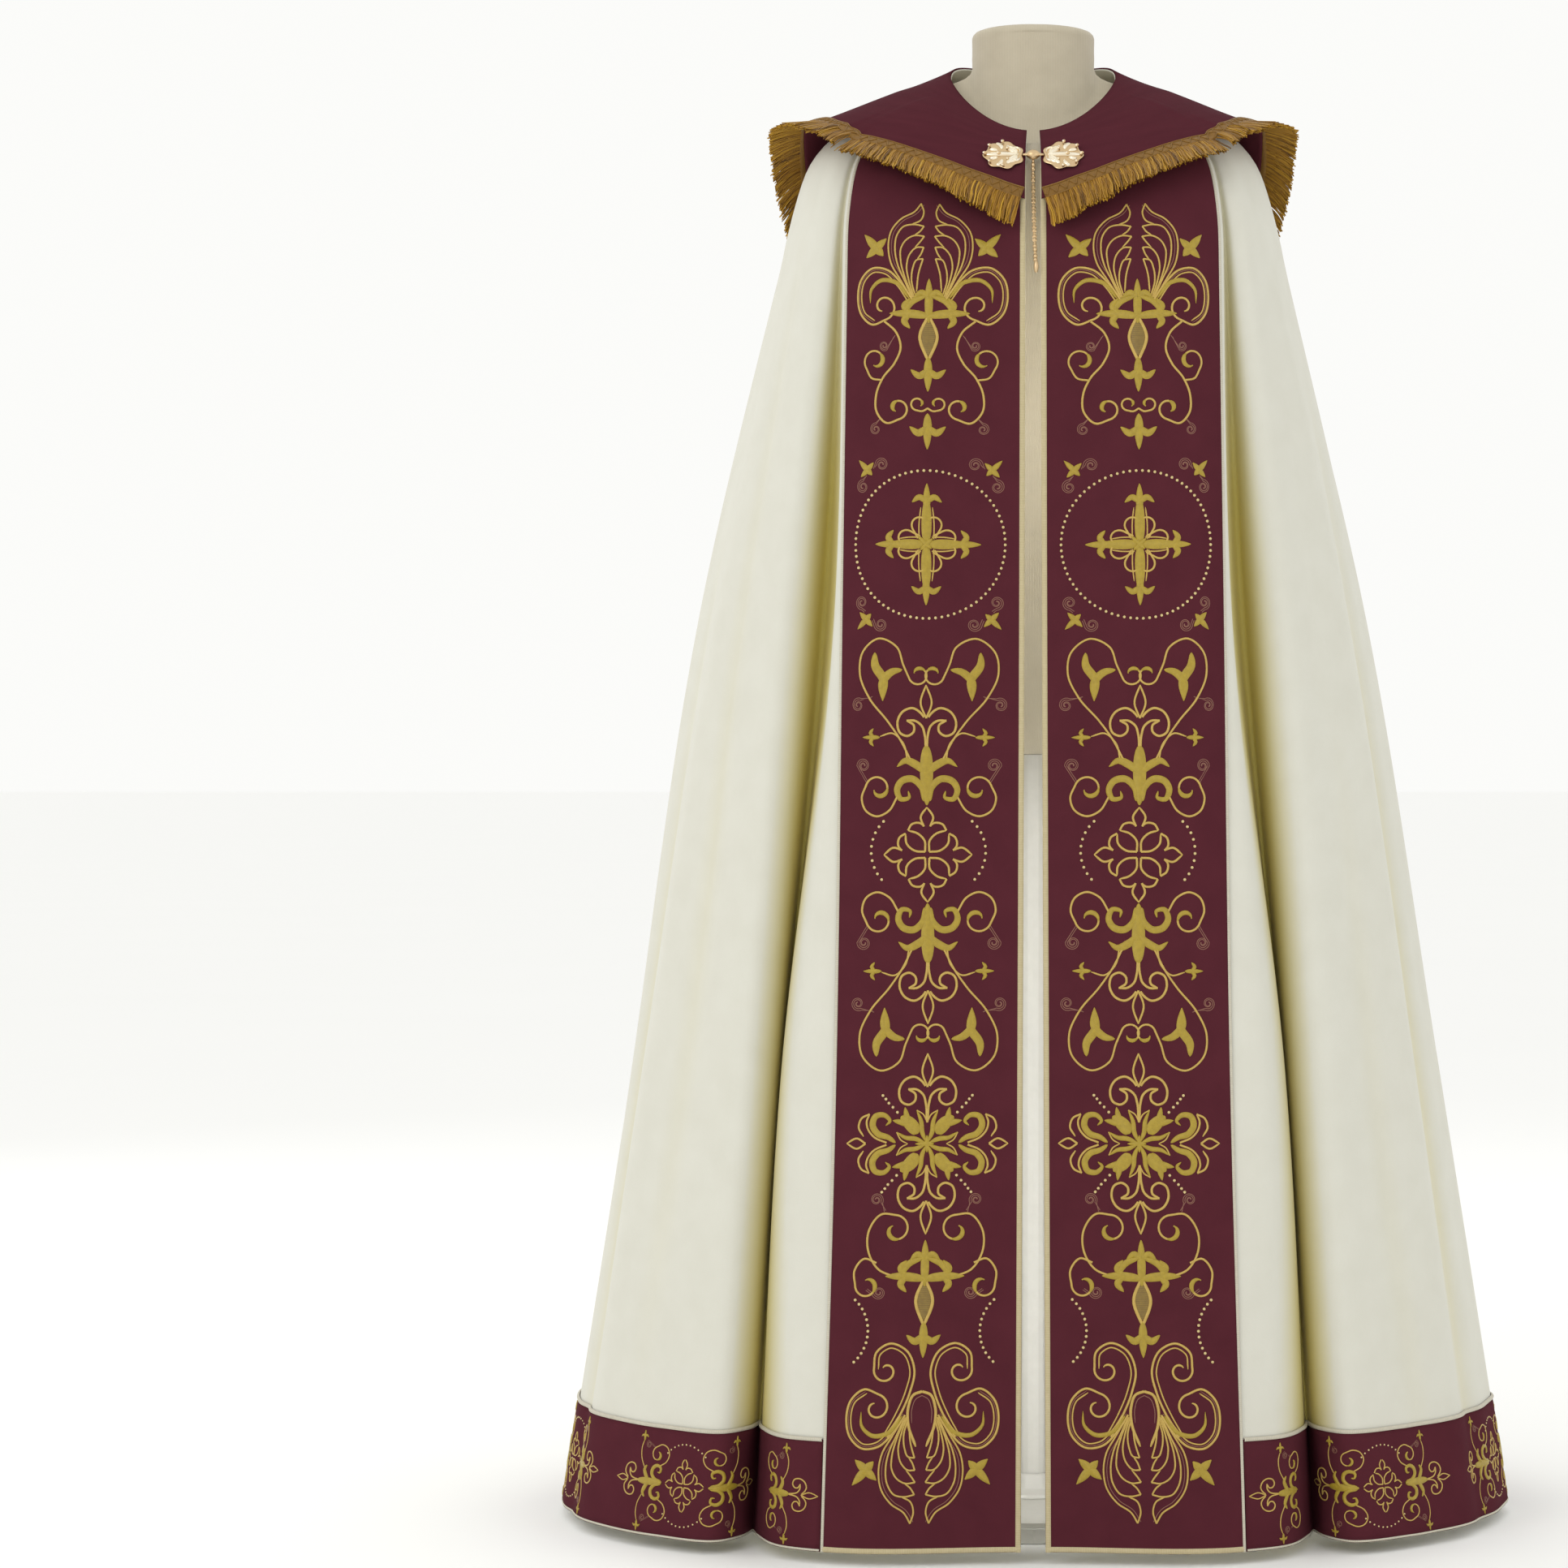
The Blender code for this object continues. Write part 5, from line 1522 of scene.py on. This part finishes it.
# Each row: motif, height in mm, turned over
ORPHREY_MOTIFS = (
    (winged_cross(), 1241, False), (ring(), 1007, False), (lily_tree(), 776, False), (four_leaf(), 699, False),
    (lily_tree(), 623, True), (compass(), 414, False), (rising_cross(), 284, False), (wing_foot(), 162, False),
)
orphrey_pattern = Pattern()
for motif, height, flip in ORPHREY_MOTIFS:
    orphrey_pattern.add(motif, (0, height), flip=flip)
orphrey_pattern.beads(round_beads((-15, 702), 41, 41, 133, 222, 10))
print(len(orphrey_pattern.lines), "lines and", len(orphrey_pattern.knots), "knots on each orphrey")


# %% Lay the pattern on the cloth
def sew(name, pattern, mapper, knot=1.7):
    """Makes one piece of each thread colour. mapper turns millimetres into points and ways out."""
    made = []
    for colour, (material, height) in THREADS.items():
        runs = []
        for line_colour, points, widths in pattern.lines:
            if line_colour == colour:
                runs.append((*mapper(points), widths * 0.001, height * np.clip(widths / 2.0, 0.6, 1.0)))
        if runs:
            made.append(add_piece(f"{name}_{colour}", ribbon_mesh(f"{name}_{colour}", runs), material))
    if pattern.knots:
        places, outward = mapper(np.array(pattern.knots))
        mesh = knots_mesh(name + "_knots", places, outward, 0.001 * knot, 7, 3)
        made.append(add_piece(name + "_knots", mesh, bead_thread))
    print(name, sum(2 * len(piece.data.polygons) for piece in made), "triangles")
    return made


def on_band(u, t):
    """Points on a laid band, and the ways out there."""
    return cloth.at(u, t, ORPHREY_OUT), cloth.way_out(u, t)


def orphrey_mapper(side):
    """a runs across the panel to the viewer's right, b is the height above the floor."""
    def mapper(points):
        height = points[:, 1] * 0.001
        width = np.interp(height, LEVELS, ORPHREY_WIDTHS)
        return on_band(side * (1 + ORPHREY_U) / 2 + points[:, 0] * 0.001 / width * (1 - ORPHREY_U), t_of(height))

    return mapper


across = np.linspace(ORPHREY_U, 1, 12)
ORPHREY_WIDTHS = [float(way_along(cloth.at(across, t_of(z)))[-1]) for z in LEVELS]
print("orphrey width at four heights:", [round(width, 4) for width in ORPHREY_WIDTHS])
for side, sheet in orphreys.items():
    word = "left" if side < 0 else "right"
    pieces = sew("needlework_" + word, orphrey_pattern, orphrey_mapper(side))
    area = round(layer_area(orphrey_faces[side]), 3)

# %% [markdown]
# ### The hem band and the hood
#
# The band carries the same lilies and four-leaved flowers at a little over half the size, lying on their sides. Here a
# runs round the foot of the cloak. On the back of the hood the ring of knots comes again, inside a wide ring of gold
# cord. It has to look round from behind although the hood is curved, so those lines are thrown straight forwards onto
# the hood by ray casting.

# %% Hem pattern
HEM_SCALE, HEM_MIDDLE_Z, BAND_HEIGHT = 0.575, 0.066, 0.11
FIRST_GROUP, END_GROUP = 259, 101  # millimetres from the orphrey to the middle of a group
SMALL_FLOWER = ((-42, 27), (-58, 28), (-70, 24), (-77, 23))
hem_u = np.linspace(-1, 1, 2001)
hem_way = way_along(cloth.at(hem_u, float(t_of(HEM_MIDDLE_Z)))) * 1000
hem_way -= np.interp(0, hem_u, hem_way)


def hem_mapper(points):
    return on_band(np.interp(points[:, 0], hem_way, hem_u), t_of(HEM_MIDDLE_Z + 0.001 * points[:, 1]))


hem_group = Pattern()
hem_group.add(four_leaf(), scale=HEM_SCALE)
for turn in (90, -90):
    way = 1 if turn == -90 else -1
    hem_group.add(solid_lily(SMALL_FLOWER), (77 * way * HEM_SCALE, 0), HEM_SCALE, turn)
    hem_group.add(outline_lily(28), (133 * way * HEM_SCALE, 0), HEM_SCALE, turn)
for y in (-1, 1):
    hem_group.beads(round_beads((0, 0), 36, 41, 48 * y, 132 * y, 11), False)
hem_group.thin()

half_band = float(np.interp(ORPHREY_U, hem_u, hem_way))
end_group = Pattern()
end_group.add(solid_lily(SMALL_FLOWER), (-77 * HEM_SCALE, 0), HEM_SCALE, 90)
end_group.add(outline_lily(28), (-133 * HEM_SCALE, 0), HEM_SCALE, 90)
end_group.thin()
first = half_band - FIRST_GROUP
pitch = first / 5
# Each row: piece, side, places of its groups in steps of the pitch
HEM_GROUPS = (("hem_left", -1, (5, 4, 3)), ("hem_back", 1, (-2, -1, 0, 1, 2)), ("hem_right", 1, (3, 4, 5)))
for name, side, groups in HEM_GROUPS:
    hem_pattern = Pattern()
    for i in groups:
        hem_pattern.add(hem_group, (side * pitch * i, 0))
    if name != "hem_back":
        hem_pattern.add(end_group, (side * (half_band - END_GROUP), 0), turn=0 if side < 0 else 180)
    pieces = sew("needlework_" + name, hem_pattern, hem_mapper, 1.0)
    width = round(layer_area(hem_faces[name]) / BAND_HEIGHT, 3)
print("band", round(2 * half_band), "mm, one group every", round(pitch), "mm")

# %% Hood pattern
HOOD_RING_Z, HOOD_RING = 1.345, 119
hood_tree = BVHTree.FromPolygons([v.co for v in hood.data.vertices], [tuple(p.vertices) for p in hood.data.polygons])


def hood_mapper(points):
    """Straight forwards from behind, where a to the viewer's right is -X."""
    places, outward = [], []
    for a, b in points:
        hit, normal, _, _ = hood_tree.ray_cast(Vector((-0.001 * a, 1.0, HOOD_RING_Z + 0.001 * b)), Vector((0, -1, 0)))
        places.append(tuple(hit))
        outward.append(tuple(normal if normal.y > 0 else -normal))
    return np.array(places), np.array(outward)


hood_pattern = Pattern()
hood_pattern.line("gold", round_beads((0, 0), HOOD_RING, HOOD_RING, 0, 360, 241), np.full(241, 3.6), False)
hood_pattern.add(ring())
hood_pieces = sew("needlework_hood", hood_pattern, hood_mapper)

# %% [markdown]
# ## The form
#
# Only the flat top of the neck shows in front, but from below and behind the rest does too. The torso is covered in
# jersey. It is made as a stack of ovals, with a smooth curve through them from top to bottom, so it has none of the
# frame's flat faces. Its shoulders are read from the cloth itself, a little inside it, because the cloak rests there.

# %% Torso
CAP_TOP_Z, CAP_HALF_WIDTH, CAP_HALF_DEPTH, CAP_ROUNDING = 1.562, 0.0645, 0.060, 0.007
# Each row: half width, front, back, height
TORSO = (
    (0.197, 0.160, 0.140, 1.385), (0.176, 0.152, 0.135, 1.270), (0.142, 0.118, 0.112, 1.060),
    (0.172, 0.126, 0.135, 0.880), (0.158, 0.114, 0.122, 0.800),
)
TORSO_SIDES = 140
us = np.linspace(-1, 1, TORSO_SIDES, endpoint=False)


def oval(half_width, front, back, height):
    x, y = plan(us, "hood", True).T
    turn = np.arctan2(x, -0.541 * y)
    depth = np.where(np.cos(turn) > 0, front, back)
    return np.stack((half_width * np.sin(turn), -depth * np.cos(turn), np.full(len(us), height)), 1)


neck_foot = oval(CAP_HALF_WIDTH * 1.02, CAP_HALF_DEPTH * 1.02, CAP_HALF_DEPTH * 1.02, 1.519)
neck_foot[:, 2] -= 0.055 * np.maximum(0, -neck_foot[:, 1] / CAP_HALF_DEPTH)
lower = [cloth.at(us, np.full(len(us), t), -0.0026) for t in (0.026, 0.052)]
straight = oval(CAP_HALF_WIDTH, CAP_HALF_DEPTH, CAP_HALF_DEPTH, CAP_TOP_Z - CAP_ROUNDING)
still_straight = oval(CAP_HALF_WIDTH, CAP_HALF_DEPTH, CAP_HALF_DEPTH, 1.534)
knot_rings = np.array([straight, still_straight, neck_foot, *lower, *(oval(*row) for row in TORSO)])
knots = np.array((0.0, 0.7, 1.1, 2.2, 2.7, 3.7, 4.7, 6.5, 8.1, 8.8))
samples = np.linspace(0, knots[-1], 64)
body = np.stack([curve(knots, knot_rings[:, i], samples) for i in range(len(us))], 1)
lid = []
for size, drop in ((0.02, 0.0), (0.5, 0.0), (0.82, 0.0), (0.90, 0.0006), (0.95, 0.0018), (0.985, 0.0042)):
    lid_ring = straight * (size, size, 1)
    lid_ring[:, 2] = CAP_TOP_Z - drop
    lid.append(lid_ring)
foot_lid = [body[-1] * (size, size, 1) for size in (0.97, 0.6, 0.02)]
mesh = ring_mesh("form_jersey", np.array([*lid, *body, *foot_lid]))
torso = add_piece("form_jersey", mesh, jersey.material)
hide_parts("form_torso")
print("torso", len(mesh.polygons), "faces")

# %% Pole and base
for name in ("form_pole", "form_base"):
    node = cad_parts[name]
    node.material_slots[0].material = enamel.material
BOSS_SIDES = 48
# Each row: radius, height
BOSS = (
    (0.0190, 0.044), (0.0215, 0.0435), (0.0225, 0.042), (0.0225, 0.030),
    (0.0235, 0.028), (0.034, 0.0245), (0.036, 0.0215), (0.036, 0.0203),
)
angle = np.linspace(0, tau, BOSS_SIDES, endpoint=False)
rings = [np.stack((r * np.cos(angle), r * np.sin(angle), np.full(BOSS_SIDES, z)), -1) for r, z in BOSS]
mesh = ring_mesh("base_boss", rings, uv_axes=(0, 1))
boss = add_piece("base_boss", mesh, enamel.material)
print("stand finished")

# %% [markdown]
# ## Floor, sizes and the end
#
# The floor is a very wide pale sheet, almost as bright as the world behind it, so that no horizon shows from any side.

# %% Floor
corners = [(x, y, -0.0005) for y in (-400.0, 400.0) for x in (-400.0, 400.0)]
floor_mesh = quad_mesh("studio_paper", corners, [(0, 1, 3, 2)], [corner[:2] for corner in corners])
paper = Paint("studio_paper", Roughness=0.95)
paper.surface(Base_Color=paper.mix(paper.noise(paper.place(), 0.8), (0.955, 0.955, 0.945), (0.97, 0.97, 0.96)))
floor = bpy.data.objects.new("studio_paper", floor_mesh)
floor_mesh.materials.append(paper.material)
floor_mesh.shade_smooth()
bpy.context.collection.objects.link(floor)

# %% Sizes
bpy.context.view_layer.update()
shown = [made for made in bpy.data.objects if made.type == "MESH" and not made.hide_render]
triangles = {made.name: sum(len(face.vertices) - 2 for face in made.data.polygons) for made in shown}
print("triangles", sum(triangles.values()), {k: v for k, v in triangles.items() if v > 20000})
